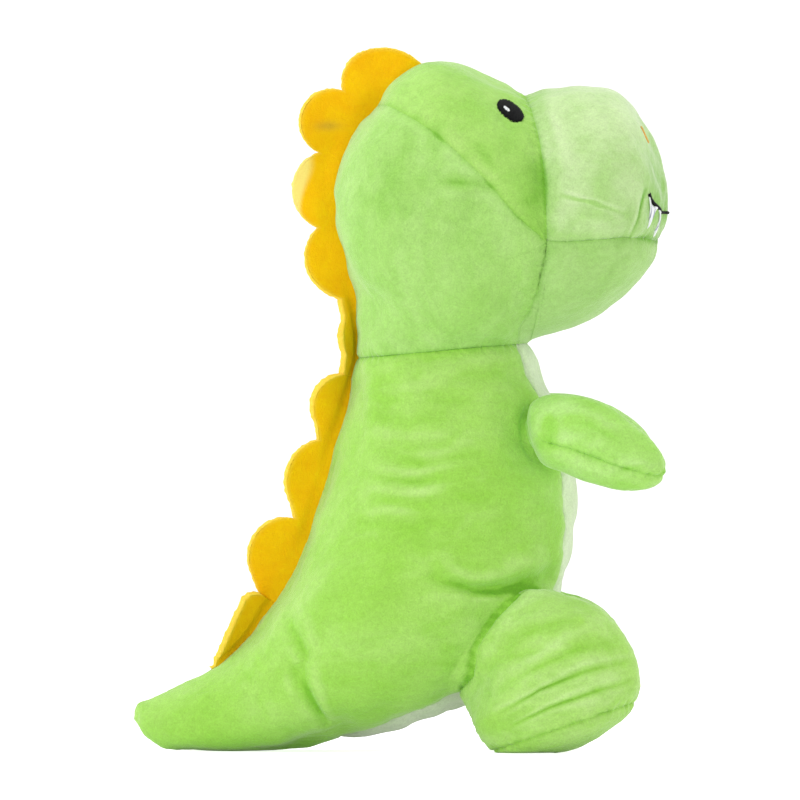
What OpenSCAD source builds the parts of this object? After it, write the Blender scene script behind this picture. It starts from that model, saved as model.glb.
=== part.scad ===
// Stuffed sitting dinosaur: +X forward, +Y its left, +Z up, origin on the floor under the middle of its box.
// Every soft form is a loft through rings. A ring runs from a point A on the back or top, round the left
// side, to a point B on the front or underside, and back round the right side.

/* [Fabric] */
// Thickness of the short-pile plush cover, pile included
plush_t = 1.8; // [1.4:0.1:2.2]
// Thickness of the felt of the back spines
felt_t = 3.2; // [2.4:0.1:4]
// Thickness of the embroidery
thread_t = 0.7; // [0.5:0.1:1]
// Room left between neighbouring pieces
clearance = 0.3; // [0.2:0.05:0.4]
// Room left between the filling and the cover round it
filling_room = 1.2; // [1.1:0.1:2]

/* [Head] */
// Half of the head's width at the cheeks
head_half_w = 51; // [47:1:54]
// Half of the muzzle's width
muzzle_half_w = 46; // [42:1:48]
// Width of an eye, seen from the side
eye_w = 11.4; // [9:0.1:13]
// Height of an eye, seen from the side
eye_h = 8.8; // [7:0.1:10]
// Distance from the middle of the muzzle to a corner of the mouth
mouth_half_w = 32; // [28:1:33]
// Distance from the middle of the muzzle to a nostril
nostril_y = 22; // [16:1:24]
// Height of a tooth
tooth_h = 9; // [6:0.5:11]

/* [Body] */
// Half of the neck's width at its seam
neck_half_w = 37.5; // [35:0.5:39]
// Half of the seat's width, the widest part of the body
seat_half_w = 54; // [50:1:56]
// Half of the pale belly panel's width
belly_half_w = 19.5; // [16:0.5:20]
// Half of the tail's width halfway along it
tail_half_w = 26.5; // [23:0.5:29]

/* [Limbs] */
// Distance from the middle plane to the middle of an arm
arm_y = 46.8; // [46.5:0.1:49]
// Half of an arm's thickness
arm_half_w = 11.5; // [9.5:0.5:11.5]
// Distance from the middle plane to the middle of a foot
foot_y = 45.5; // [45.5:0.5:48]
// Half of a foot's width
foot_half_w = 24.5; // [21:0.5:24.5]

/* [Room for the joints] */
// Depth of the soft band on each side of the neck seam
neck_room = 4.4; // [4.2:0.1:5]
// Depth of the soft band behind each leg
hip_room = 4.7; // [4.5:0.1:5]

/* [Hidden] */
left = 1;
right = -1;

// A station is [A x, A z, B x, B z, half width, squareness, bow, middle y]. Squareness 2 is an ellipse,
// and bow pushes the ring's sides along the loft.
tail_tip = 0;
tail_start = 8;
tail_joint = 9;
seat_start = 10;
base_end = 13.4;
neck_seam = 21;
trunk = [
    [-105.9, 16.2, -105.9, 12.4, 2.2, 2, 0, 0],
    [-104.6, 18.8, -103.6, 8.2, 6.5, 2, 0, 0],
    [-101.5, 21.4, -99.5, 4.2, 11, 2, 0, 0],
    [-95, 24.6, -91.5, 0.8, 15.5, 2, 0, 0],
    [-86, 28, -78, -0.8, tail_half_w * 0.8, 2, 0, 0],
    [-74.8, 33.2, -62, -1.2, tail_half_w, 2, 0, 0],
    [-65.6, 40.4, -48, -0.6, tail_half_w + 5.5, 2, 0, 0],
    [-58.8, 48, -38.5, 0.4, seat_half_w - 17.5, 2, 0, 0],
    [-54.2, 54.8, -32, 1.4, seat_half_w - 14.5, 2.05, 0, 0],
    [-50.3, 60.2, -26.5, 2.6, seat_half_w - 12, 2.1, 0, 0],
    [-46.5, 65.5, -21, 4.4, seat_half_w - 9.5, 2.15, 0, 0],
    [-43.6, 70.4, -4, 8.6, seat_half_w - 5, 2.2, 0, 0],
    [-41.6, 74.6, 16.4, 15.6, seat_half_w - 1.5, 2.2, 0, 0],
    [-40, 78.4, 38, 27, seat_half_w, 2.2, 0, 0],
    [-38.4, 82, 56, 45, seat_half_w, 2.2, 0, 0],
    [-36.6, 86.6, 66.4, 66, seat_half_w - 1, 2.2, 0, 0],
    [-34.4, 94, 69.4, 84, seat_half_w - 3, 2.2, 0, 0],
    [-31.2, 104.4, 69.4, 102, seat_half_w - 5, 2.2, 0, 0],
    [-26.8, 120.4, 67.6, 120.4, seat_half_w - 8.5, 2.2, 0, 0],
    [-22, 136.4, 62.6, 137, neck_half_w + 4.5, 2.2, 0, 0],
    [-18.8, 150, 55.6, 152, neck_half_w + 1.5, 2.2, 0, 0],
    [-16.8, 157.2, 51.6, 163.2, neck_half_w, 2.2, 0, 0]];

crown_start = 6.6;
crown_vs = [6.63, 6.8, 7.1, 7.6, 8.3, 9.2, 10.1, 11, 11.6, 11.9, 12];
muzzle_seam = 12;
jaw_end = 17.5;
muzzle_tip = 19;
head = [
    [-16.8, 157.2, 51.6, 163.2, neck_half_w, 2.2, 0, 0],
    [-16.9, 168, 51.73, 163.3, neck_half_w + 2, 2.2, 0.5, 0],
    [-18.4, 182, 51.85, 163.4, head_half_w - 8, 2.25, 1, 0],
    [-21.8, 197, 51.98, 163.5, head_half_w - 4.5, 2.3, 1.5, 0],
    [-24.4, 212, 52.1, 163.6, head_half_w - 2, 2.3, 2, 0],
    [-24, 228, 52.23, 163.7, head_half_w - 0.5, 2.3, 3, 0],
    [-17.2, 246.4, 52.35, 163.8, head_half_w, 2.3, 4, 0],
    [-3.2, 264.4, 52.48, 164, head_half_w, 2.3, 5, 0],
    [8.4, 272.8, 52.6, 164.1, head_half_w - 0.5, 2.3, 5.5, 0],
    [20, 273.4, 52.73, 164.2, head_half_w - 1, 2.3, 6, 0],
    [31, 270, 52.85, 164.3, head_half_w - 2, 2.3, 6.5, 0],
    [41, 265.9, 52.98, 164.4, muzzle_half_w + 1.5, 2.3, 7, 0],
    [50.4, 263, 53.1, 164.5, muzzle_half_w, 2.35, 7, 0],
    [60, 264.3, 63.2, 168.6, muzzle_half_w + 0.5, 2.4, 6, 0],
    [74, 264.6, 79.2, 176.4, muzzle_half_w, 2.4, 4, 0],
    [86, 262.8, 89.6, 184.4, muzzle_half_w - 3.5, 2.4, 2, 0],
    [95, 254, 97.2, 192.4, muzzle_half_w - 11, 2.4, 1, 0],
    [101.6, 241, 102.4, 200.6, muzzle_half_w - 21.5, 2.3, 0.5, 0],
    [105.4, 227.6, 105.4, 209.2, 12, 2.1, 0, 0],
    [106.35, 219.4, 106.35, 216.2, 2.2, 2, 0, 0]];

arm = [
    [50.4, 133, 50.4, 129, 2, 2, 0, arm_y],
    [53, 139.4, 52, 122.6, arm_half_w - 3, 2, 0, arm_y],
    [60, 142.4, 57.4, 114.6, arm_half_w - 0.5, 2.1, 0, arm_y],
    [70, 142, 66, 111.4, arm_half_w, 2.1, 0, arm_y],
    [82, 138.6, 76, 107.4, arm_half_w, 2.1, 0, arm_y],
    [94, 131.6, 87, 104.8, arm_half_w - 0.5, 2.1, 0, arm_y],
    [102, 123.4, 97, 104.8, arm_half_w - 3, 2, 0, arm_y],
    [105.4, 116.4, 103.4, 107.4, 4.5, 2, 0, arm_y],
    [106, 113.4, 105.8, 110.6, 1.4, 2, 0, arm_y]];
arm_tip = 8;

hip_y = foot_y - 9.5;
sole_seam = 5;
sole_middle = 9;
leg = [
    [54.9, 64.7, 27.3, 19.5, foot_half_w - 9, 2.1, 0, hip_y],
    [64, 63.6, 28.6, 15.2, foot_half_w - 3, 2.1, 0, foot_y - 3.5],
    [80.4, 56.8, 31, 9.4, foot_half_w, 2.1, 0, foot_y],
    [91.4, 42.6, 34.2, 4.6, foot_half_w - 0.5, 2.1, 0, foot_y],
    [95, 29, 36.4, 2.4, foot_half_w - 1.5, 2.1, 0, foot_y],
    [93.6, 20.4, 38, 1.4, foot_half_w - 2.5, 2.1, 0, foot_y],
    [90, 15, 40, -0.8, foot_half_w - 5, 2.1, 0, foot_y],
    [82.4, 8.6, 45, -1.8, foot_half_w - 10, 2.1, 0, foot_y],
    [73.4, 3, 52, -1.6, 8.5, 2, 0, foot_y],
    [64, -0.6, 60.5, -0.9, 1.6, 2, 0, foot_y]];
// The ring on the body that each leg is sewn to, with its unit normal in X and Z
hip_normal = [0.853, -0.521];
hip_back = leg[0] - hip_room * [hip_normal[0], hip_normal[1], hip_normal[0], hip_normal[1], 0, 0, 0, 0];

// Scallops of the spine strip: [middle x, middle z, radius], from the crown down to the tail, and the
// notches between them, with the strip's two ends
spines = [
    [-9.6, 267.6, 13.4], [-26.8, 251.6, 13.4], [-26.6, 224.4, 16.2], [-22, 197.2, 16],
    [-14, 165.6, 13.4],
    [-21.6, 138.4, 14.4], [-28.2, 108, 18], [-45, 78, 16],
    [-60.8, 48.4, 14.4]];
notches = [
    [9.5, 274.2], [-22.8, 264.3], [-32.5, 239.5], [-32.8, 209.3], [-24.6, 181], [-23.6, 151],
    [-32.6, 124.6], [-42, 93.2], [-56.4, 63.9], [-75.4, 33.7]];
spine_cut = 1;
crown_to_nape = 181;
nape_to_back = 151;
back_to_tail = 64;

neck_middle = [17.4, 160.2];
neck_slope = atan2(163.2 - 157.2, 51.6 + 16.8);

green = "#a5da60";
pale_green = "#b4e07a";
cream = "#dfe8d2";
yellow = "#f0b60f";
black = "#2b2b2d";
thread_white = "#eef2f0";
fibre = "#f4f4ef";

// ---- Curves and lofts ----

function signed_pow(x, e) = sign(x) * pow(abs(x), e);
function mix(a, b, t) = a + (b - a) * t;
function curve(a, b, c, d, t) =
    b + t * ((c - a) / 2 + t * ((2 * a - 5 * b + 4 * c - d) / 2 + t * (3 * b - a - 3 * c + d) / 2));

// The station at v, on a smooth curve through the list's stations
function station(list, v) =
    let (last = len(list) - 1)
    let (i = min(floor(v), last - 1))
    let (before = i > 0 ? list[i - 1] : 2 * list[0] - list[1])
    let (after = i + 2 <= last ? list[i + 2] : 2 * list[last] - list[last - 1])
    curve(before, list[i], list[i + 1], after, v - i);

// The point at angle u on a station's ring: 0 at A, 90 on the left, 180 at B
function ring_point(s, u) =
    let (c = signed_pow(cos(u), 2 / s[5]), q = signed_pow(sin(u), 2 / s[5]))
    let (hx = (s[0] - s[2]) / 2, hz = (s[1] - s[3]) / 2)
    let (h = max(norm([hx, hz]), 0.01), push = s[6] * q * q)
    [(s[0] + s[2]) / 2 + hx * c + hz / h * push, s[7] + s[4] * q, (s[1] + s[3]) / 2 + hz * c - hx / h * push];
function surface_point(list, u, v) = ring_point(station(list, v), u);

// The outward unit normal of a loft
function normal(list, u, v) =
    let (w = min(max(v, 0.1), len(list) - 1.1))
    let (along = surface_point(list, u, w + 0.05) - surface_point(list, u, w - 0.05))
    let (around = surface_point(list, u + 1, w) - surface_point(list, u - 1, w))
    let (n = cross(along, around))
    n / max(norm(n), 1e-6);

// A point below the surface by depth, kept above the floor by as much
function sunk(list, u, v, depth) =
    let (p = surface_point(list, u, v) - depth * normal(list, u, v))
    [p[0], p[1], max(p[2], max(depth, 0))];

function steps(a, b, n) = [for (i = [0:n]) mix(a, b, i / n)];
// A grid of points: a row for each v in vs, and each row runs from angle from(v) to angle to(v)
function patch(list, vs, from, to, n, depth) =
    [for (v = vs) [for (u = steps(from(v), to(v), n)) sunk(list, u, v, depth)]];
function rings(list, vs, n, depth) = [for (v = vs) [for (j = [0:n - 1]) sunk(list, 360 * j / n, v, depth)]];

function flat(rows) = [for (row = rows) each row];
function quad(a, b, c, d) = [[a, b, c], [a, c, d]];

// The solid between an outer and an inner grid of points
module sheet_solid(outer, inner, joined = false) {
    nv = len(outer);
    nu = len(outer[0]);
    below = nv * nu;
    function at(i, j) = i * nu + j % nu;
    cols = joined ? nu : nu - 1;
    faces = [
        for (i = [0:nv - 2], j = [0:cols - 1])
            each quad(at(i, j), at(i, j + 1), at(i + 1, j + 1), at(i + 1, j)),
        for (i = [0:nv - 2], j = [0:cols - 1])
            each quad(below + at(i, j), below + at(i + 1, j), below + at(i + 1, j + 1), below + at(i, j + 1)),
        for (j = [0:cols - 1])
            each quad(at(0, j + 1), at(0, j), below + at(0, j), below + at(0, j + 1)),
        for (j = [0:cols - 1])
            each quad(at(nv - 1, j), at(nv - 1, j + 1), below + at(nv - 1, j + 1), below + at(nv - 1, j)),
        if (!joined) for (i = [0:nv - 2])
            each quad(at(i, 0), at(i + 1, 0), below + at(i + 1, 0), below + at(i, 0)),
        if (!joined) for (i = [0:nv - 2])
            each quad(at(i + 1, nu - 1), at(i, nu - 1), below + at(i, nu - 1), below + at(i + 1, nu - 1))];
    polyhedron(points = concat(flat(outer), flat(inner)), faces = faces, convexity = 6);
}

// The solid inside a stack of closed rings, with its two ends closed
module stack_solid(rows) {
    nv = len(rows);
    nu = len(rows[0]);
    function middle(row) = [for (p = row) 1] * row / len(row);
    function at(i, j) = i * nu + j % nu;
    faces = [
        for (i = [0:nv - 2], j = [0:nu - 1])
            each quad(at(i, j), at(i, j + 1), at(i + 1, j + 1), at(i + 1, j)),
        for (j = [0:nu - 1]) [at(0, j + 1), at(0, j), nv * nu],
        for (j = [0:nu - 1]) [at(nv - 1, j), at(nv - 1, j + 1), nv * nu + 1]];
    ends = [middle(rows[0]), middle(rows[nv - 1])];
    polyhedron(points = concat(flat(rows), ends), faces = faces, convexity = 6);
}

module cover(list, vs, from, to, n, depth = 0, thickness = plush_t) {
    sheet_solid(patch(list, vs, from, to, n, depth), patch(list, vs, from, to, n, depth + thickness));
}

module filling(list, vs, n) {
    stack_solid(rings(list, vs, n, plush_t + filling_room));
}

// Pieces are drawn on the left side, and mirrored for the right
module on_side(side) {
    mirror([0, side == right ? 1 : 0, 0]) children();
}

// ---- Seams, as angles round a ring ----

function at_top(v) = 0;
function at_bottom(v) = 180;
function crown_seam(v) = v <= crown_start ? 0 : 100 * (1 - exp(-1.28 * pow(v - crown_start, 0.75)));
// The jaw panel's edge: along the muzzle it runs level, and behind it turns down to the neck
jaw_corner = 98.9;
function jaw_seam(v) =
    v < muzzle_seam ? jaw_corner + 51.1 * sqrt(1 - pow(v / muzzle_seam, 4)) :
    let (f = min((v - muzzle_seam) / (jaw_end - muzzle_seam), 1))
    jaw_corner + (180 - jaw_corner) * (0.44 * pow(f, 1.4) + 0.56 * pow(f, 12));
function jaw_or_bottom(v) = v < jaw_end ? jaw_seam(v) : 180;
// The angle at which a ring of the body is half_w away from the middle plane
function angle_of_width(v, half_w) =
    let (s = station(trunk, v))
    180 - asin(pow(min(half_w / s[4], 1), s[5] / 2));
function belly_seam(v) = angle_of_width(v, belly_half_w);
function base_seam(v) =
    let (f = (v - seat_start) / (base_end - seat_start))
    angle_of_width(v, mix(6, belly_half_w, min((v - seat_start) / 2.4, 1)) + 6 * sin(180 * f));
function lower_seam(v) = v < base_end ? base_seam(v) : belly_seam(v);
function mirrored(seam) = function (v) 360 - seam(v);

// ---- Head ----

// Takes away what lies below the soft neck band
module above_neck() {
    difference() {
        children();
        translate([neck_middle[0], 0, neck_middle[1]])
            rotate([0, -neck_slope, 0])
                translate([-100, -100, neck_room - 100])
                    cube([200, 200, 100]);
    }
}

module cheek(side) {
    vs = concat(steps(0, 6.2, 8), crown_vs);
    color(green)
        on_side(side)
            above_neck()
                cover(head, vs, function (v) crown_seam(v), function (v) jaw_seam(v), 11);
}

module crown(side) {
    color(pale_green)
        on_side(side)
            cover(head, crown_vs, function (v) at_top(v), function (v) crown_seam(v), 7);
}

module muzzle(side) {
    vs = steps(muzzle_seam, muzzle_tip, 13);
    color(pale_green)
        on_side(side)
            cover(head, vs, function (v) at_top(v), function (v) jaw_or_bottom(v), 9);
}

module jaw_panel() {
    vs = concat([4, 7, 9, 10.5, 11.4, 11.9], steps(muzzle_seam, jaw_end - 0.6, 8), [jaw_end - 0.3, jaw_end - 0.12]);
    color(green)
        above_neck()
            cover(head, vs, function (v) jaw_seam(v), mirrored(function (v) jaw_seam(v)), 14);
}

module head_filling() {
    vs = concat(steps(0, muzzle_seam, 15), steps(12.6, muzzle_tip - 0.4, 9));
    color(fibre)
        above_neck()
            filling(head, vs, 24);
}

// ---- Embroidery ----

// Solves form(q) for the q whose point has the wanted coordinates a and b, by Newton's method
function seek(form, wanted, a, b, q, rounds = 7) =
    rounds == 0 ? q :
    let (h = 0.02, p = form(q), px = form(q + [h, 0]) - p, py = form(q + [0, h]) - p)
    let (m = [[px[a], py[a]] / h, [px[b], py[b]] / h], miss = [wanted[0] - p[a], wanted[1] - p[b]])
    let (det = m[0][0] * m[1][1] - m[0][1] * m[1][0])
    let (step = [m[1][1] * miss[0] - m[0][1] * miss[1], m[0][0] * miss[1] - m[1][0] * miss[0]] / det)
    seek(form, wanted, a, b, q + step, rounds - 1);

// A point on the left of the head, given by its x and z, lifted off the surface
function side_point(xz, lift) =
    let (q = seek(function (q) surface_point(head, q[0] * 10, q[1]), xz, 0, 2, [4, 11.4]))
    sunk(head, q[0] * 10, q[1], -lift);

// A point on the front of the muzzle, given by its y and z: q is the distance from the tip, in two directions
function tip_angle(q) = atan2(q[0], q[1]);
function tip_station(q) = muzzle_tip - max(norm(q), 0.01);
function front_point(yz, lift) =
    let (start = [yz[0] / 14, (yz[1] - 217.8) / 16])
    let (q = seek(function (q) surface_point(head, tip_angle(q), tip_station(q)), yz, 1, 2, start, 14))
    sunk(head, tip_angle(q), tip_station(q), -lift);

low_stitch = 0.35;
high_stitch = low_stitch + thread_t;

// A pad of stitching inside an ellipse on the side of the head
module side_pad(middle, w, h, tilt, low, high, n) {
    function rim(t, r) = [w / 2 * cos(t) * r, h / 2 * sin(t) * r];
    function turned(p) = [p[0] * cos(tilt) - p[1] * sin(tilt), p[0] * sin(tilt) + p[1] * cos(tilt)];
    function ring(r, lift) = [for (j = [0:n - 1]) side_point(middle + turned(rim(360 * j / n, r)), lift)];
    stack_solid([ring(0.05, high), ring(0.6, high), ring(1, high - 0.2), ring(1, low), ring(0.05, low)]);
}

eye_middle = [44.8, 255.4];
eye_tilt = -24;
module eye(side) {
    color(black)
        on_side(side)
            side_pad(eye_middle, eye_w, eye_h, eye_tilt, low_stitch, high_stitch, 16);
}

module eye_glint(side) {
    color(thread_white)
        on_side(side)
            side_pad(eye_middle + [-1.6, 0.6], 2, 3, eye_tilt, high_stitch + 0.05, high_stitch + 0.4, 10);
}

// A ribbon of stitching across the muzzle's front, through a list of [y, z], of a given half width at each
module front_ribbon(line, half_ws) {
    last = len(line) - 1;
    function heading(i) = line[min(i + 1, last)] - line[max(i - 1, 0)];
    function beside(i, s) = line[i] + s * half_ws[i] / norm(heading(i)) * [-heading(i)[1], heading(i)[0]];
    function rows(lift) = [for (i = [0:last]) [for (s = [1, 0, -1]) front_point(beside(i, s), lift)]];
    sheet_solid(rows(high_stitch), rows(low_stitch));
}

nostril_line = [[-2.4, 1.6], [-1, 0.6], [1, -0.6], [2.4, -1.8]];
nostril_half_ws = [0.35, 0.8, 0.8, 0.35];
nostril_z = 246.4;
module nostril(side) {
    color(yellow)
        on_side(side)
            front_ribbon([for (p = nostril_line) p + [nostril_y, nostril_z]], nostril_half_ws);
}

mouth_middle_z = 215.3;
mouth_rise = 7.5;
function mouth_z(y) = mouth_middle_z + mouth_rise * pow(abs(y) / mouth_half_w, 5);
mouth_ys = steps(-mouth_half_w, mouth_half_w, 14);
module mouth_line() {
    color(black)
        front_ribbon([for (y = mouth_ys) [y, mouth_z(y)]], [for (y = mouth_ys) 0.75]);
}

tooth_w = 5;
tooth_ys = [-28.6, -20.6, 20.6, 28.6];
module teeth() {
    color(thread_white)
        for (y = tooth_ys)
            front_ribbon([for (d = [2.6, tooth_h / 2 + 0.5, tooth_h]) [y, mouth_z(y) - d]],
                [tooth_w / 2, tooth_w / 3, 0.4]);
}

// ---- Spines ----

// The line of the back, from tail to crown, raised by lift
function back_line(list, vs, lift) =
    [for (v = vs) let (s = station(list, v), a = [s[0], s[1]], b = [s[2], s[3]])
        a + lift * (a - b) / norm(a - b)];
function full_turn(degrees) = (degrees % 360 + 360) % 360;
// How much of the way to a notch is left at t, which runs from 0 to 1 along a scallop
function near_end(t) = pow(max(1 - t / 0.2, 0), 2);
// The edge of scallop i, from its upper notch round to its lower one
function scallop(i, n) =
    let (c = [spines[i][0], spines[i][1]], a = notches[i] - c, b = notches[i + 1] - c)
    let (start = atan2(a[1], a[0]), turn = full_turn(atan2(b[1], b[0]) - start))
    [for (t = steps(0, 1, n))
        let (r = spines[i][2] + (norm(a) - spines[i][2]) * near_end(t) + (norm(b) - spines[i][2]) * near_end(1 - t))
            c + r * [cos(start + t * turn), sin(start + t * turn)]];

module spine_piece(low_z, high_z) {
    edge = [for (i = [0:len(spines) - 1]) each [for (j = [0:15]) scallop(i, 16)[j]]];
    back = concat(back_line(trunk, steps(4.75, neck_seam - 0.4, 33), clearance),
        back_line(head, steps(0.4, 8.05, 23), clearance));
    color(yellow)
        translate([0, felt_t / 2, 0])
            rotate([90, 0, 0])
                linear_extrude(felt_t)
                    intersection() {
                        polygon(concat(edge, back));
                        translate([-150, low_z])
                            square([300, high_z - low_z]);
                    }
}

module spine_head() {
    spine_piece(crown_to_nape + spine_cut / 2, 300);
}

module spine_neck() {
    spine_piece(nape_to_back + spine_cut / 2, crown_to_nape - spine_cut / 2);
}

module spine_back() {
    spine_piece(back_to_tail + spine_cut / 2, nape_to_back - spine_cut / 2);
}

module spine_tail() {
    spine_piece(20, back_to_tail - spine_cut / 2);
}

// ---- Neck ----

function parallel_ring(s, d) =
    s + d * [-sin(neck_slope), cos(neck_slope), -sin(neck_slope), cos(neck_slope), 0, 0, 0, 0];
neck_low = parallel_ring(trunk[neck_seam], clearance - neck_room);
neck_top = parallel_ring(trunk[neck_seam], neck_room - clearance);
neck_list = [parallel_ring(neck_low, -neck_room), neck_low, trunk[neck_seam], neck_top,
    parallel_ring(neck_top, neck_room)];

module neck_band() {
    vs = [1, 1.5, 2, 2.5, 3];
    color(green)
        sheet_solid(rings(neck_list, vs, 28, 0), rings(neck_list, vs, 28, plush_t), joined = true);
}

module neck_filling() {
    color(fibre)
        stack_solid(rings(neck_list, [1, 2, 3], 28, plush_t + filling_room));
}

// ---- Torso ----

torso_vs = concat(steps(seat_start, 16, 12), [16.8, 17.6, 18.4, 19.2]);

// Takes away what lies below the soft neck band
module below_neck() {
    difference() {
        children();
        translate([neck_middle[0], 0, neck_middle[1]])
            rotate([0, -neck_slope, 0])
                translate([-100, -100, -neck_room])
                    cube([200, 200, 100]);
    }
}

// Takes away the hollows that the legs sit in, on both sides of the crotch
module clear_of_legs() {
    foot_of_cut = [hip_back[2], hip_back[3]] + 40 * [-hip_normal[1], hip_normal[0]] * -1;
    head_of_cut = [hip_back[0], hip_back[1]];
    hollow = [foot_of_cut, head_of_cut, [84, 82], [130, 82], [130, -30]];
    difference() {
        children();
        for (side = [left, right])
            on_side(side)
                translate([0, 100 + belly_half_w + clearance, 0])
                    rotate([90, 0, 0])
                        linear_extrude(100)
                            polygon(hollow);
    }
}

module body_side(side) {
    color(green)
        on_side(side)
            clear_of_legs()
                below_neck()
                    cover(trunk, concat(torso_vs, [20, neck_seam]), function (v) at_top(v),
                        function (v) lower_seam(v), 10);
}

module belly_panel() {
    color(cream)
        below_neck()
            cover(trunk, concat(steps(base_end, 18, 9), [19, 20, neck_seam]), function (v) belly_seam(v),
                mirrored(function (v) belly_seam(v)), 6);
}

module base_panel() {
    color(cream)
        cover(trunk, steps(seat_start, base_end, 8), function (v) base_seam(v),
            mirrored(function (v) base_seam(v)), 6);
}

module torso_filling() {
    color(fibre)
        clear_of_legs()
            below_neck()
                filling(trunk, concat(torso_vs, [20, neck_seam]), 28);
}

// ---- Tail ----

band_vs = [tail_start + 0.05, tail_joint, seat_start - 0.05];

module tail_root_band() {
    color(green)
        sheet_solid(rings(trunk, band_vs, 28, 0), rings(trunk, band_vs, 28, plush_t), joined = true);
}

module tail_root_filling() {
    color(fibre)
        stack_solid(rings(trunk, band_vs, 28, plush_t + filling_room));
}

module tail_side(side) {
    color(green)
        on_side(side)
            cover(trunk, steps(tail_tip, tail_start, 10), function (v) at_top(v),
                function (v) at_bottom(v), 9);
}

module tail_filling() {
    color(fibre)
        filling(trunk, steps(tail_tip + 0.6, tail_start, 9), 18);
}

// ---- Arms ----

arm_vs = steps(0, arm_tip, 9);
arm_seam_angle = 110;

module arm_upper(side) {
    color(green)
        on_side(side)
            cover(arm, arm_vs, function (v) arm_seam_angle - 200, function (v) arm_seam_angle, 8);
}

module arm_lower(side) {
    color(green)
        on_side(side)
            cover(arm, arm_vs, function (v) arm_seam_angle, function (v) arm_seam_angle + 160, 7);
}

module arm_filling(side) {
    color(fibre)
        on_side(side)
            filling(arm, steps(0.5, arm_tip - 0.5, 8), 14);
}

// The gathered root that joins the arm to the side of the body
shoulder = [58.5, 128.5];
gather_r = 5;
function body_point(xz, lift) =
    let (q = seek(function (q) surface_point(trunk, q[0] * 10, q[1]), xz, 0, 2, [13, 18.5]))
    sunk(trunk, q[0] * 10, q[1], -lift);
function arm_point(xz, lift) =
    let (q = seek(function (q) surface_point(arm, q[0] * 10, q[1]), xz, 0, 2, [27, 1.6]))
    sunk(arm, q[0] * 10, q[1], -lift);
module shoulder_gather(side) {
    function rim(j, r) = shoulder + gather_r * r * [cos(30 * j), sin(30 * j)];
    inner = [for (r = [0.02, 0.5, 1]) [for (j = [0:11]) body_point(rim(j, r), clearance)]];
    outer = [for (r = [1, 0.5, 0.02]) [for (j = [0:11]) arm_point(rim(j, r), clearance)]];
    color(green)
        on_side(side)
            stack_solid(concat(inner, outer));
}

// ---- Legs ----

leg_vs = steps(0, sole_seam, 7);

module leg_outer(side) {
    color(green)
        on_side(side)
            cover(leg, leg_vs, function (v) at_top(v), function (v) at_bottom(v), 9);
}

module leg_inner(side) {
    color(green)
        on_side(side)
            cover(leg, leg_vs, function (v) at_bottom(v), function (v) 360, 9);
}

module sole(side) {
    vs = steps(sole_seam, sole_middle, 6);
    color(green)
        on_side(side)
            sheet_solid(rings(leg, vs, 18, 0), rings(leg, vs, 18, plush_t), joined = true);
}

module leg_filling(side) {
    color(fibre)
        on_side(side)
            filling(leg, steps(0, sole_middle - 0.3, 12), 20);
}

module hip_band(side) {
    rows = [for (t = [0.08, 0.5, 0.92]) mix(hip_back, leg[0], t)];
    function ring(s, inset) =
        [for (j = [0:19]) ring_point(s - inset * [0.5, 0.85, -0.5, -0.85, 1, 0, 0, 0], 18 * j)];
    color(green)
        on_side(side)
            sheet_solid([for (s = rows) ring(s, 0)], [for (s = rows) ring(s, plush_t)], joined = true);
}

cheek(left);  // cheek_left
cheek(right);  // cheek_right
crown(left);  // crown_left
crown(right);  // crown_right
muzzle(left);  // muzzle_left
muzzle(right);  // muzzle_right
jaw_panel();
eye(left);  // eye_left
eye(right);  // eye_right
eye_glint(left);  // eye_glint_left
eye_glint(right);  // eye_glint_right
nostril(left);  // nostril_left
nostril(right);  // nostril_right
mouth_line();
teeth();
head_filling();
spine_head();
neck_band();
neck_filling();
spine_neck();
body_side(left);  // body_side_left
body_side(right);  // body_side_right
belly_panel();
base_panel();
torso_filling();
spine_back();
tail_root_band();
tail_root_filling();
tail_side(left);  // tail_side_left
tail_side(right);  // tail_side_right
tail_filling();
spine_tail();
arm_upper(left);  // arm_upper_left
arm_upper(right);  // arm_upper_right
arm_lower(left);  // arm_lower_left
arm_lower(right);  // arm_lower_right
arm_filling(left);  // arm_filling_left
arm_filling(right);  // arm_filling_right
shoulder_gather(left);  // shoulder_gather_left
shoulder_gather(right);  // shoulder_gather_right
leg_outer(left);  // leg_outer_left
leg_outer(right);  // leg_outer_right
leg_inner(left);  // leg_inner_left
leg_inner(right);  // leg_inner_right
sole(left);  // sole_left
sole(right);  // sole_right
leg_filling(left);  // leg_filling_left
leg_filling(right);  // leg_filling_right
hip_band(left);  // hip_band_left
hip_band(right);  // hip_band_right
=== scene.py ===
import bpy
import math
import numpy as np
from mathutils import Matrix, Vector, kdtree
from mathutils.bvhtree import BVHTree


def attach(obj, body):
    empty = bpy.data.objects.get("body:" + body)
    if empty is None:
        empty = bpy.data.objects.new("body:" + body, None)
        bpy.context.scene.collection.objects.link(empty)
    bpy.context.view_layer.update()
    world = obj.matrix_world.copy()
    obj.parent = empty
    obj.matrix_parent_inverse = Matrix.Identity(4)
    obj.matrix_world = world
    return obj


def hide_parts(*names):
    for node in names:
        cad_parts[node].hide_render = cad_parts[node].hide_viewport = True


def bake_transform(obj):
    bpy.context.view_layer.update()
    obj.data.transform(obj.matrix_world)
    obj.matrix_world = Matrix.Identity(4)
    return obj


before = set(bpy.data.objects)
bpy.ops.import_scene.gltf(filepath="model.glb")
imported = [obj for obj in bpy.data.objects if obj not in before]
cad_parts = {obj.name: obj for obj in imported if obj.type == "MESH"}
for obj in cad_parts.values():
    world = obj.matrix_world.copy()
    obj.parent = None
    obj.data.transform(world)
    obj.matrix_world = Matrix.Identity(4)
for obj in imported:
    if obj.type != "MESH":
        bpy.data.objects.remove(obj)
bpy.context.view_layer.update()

MM = 0.001
LEFT, RIGHT = 1, -1
SIDES = {"left": LEFT, "right": RIGHT}

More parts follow.
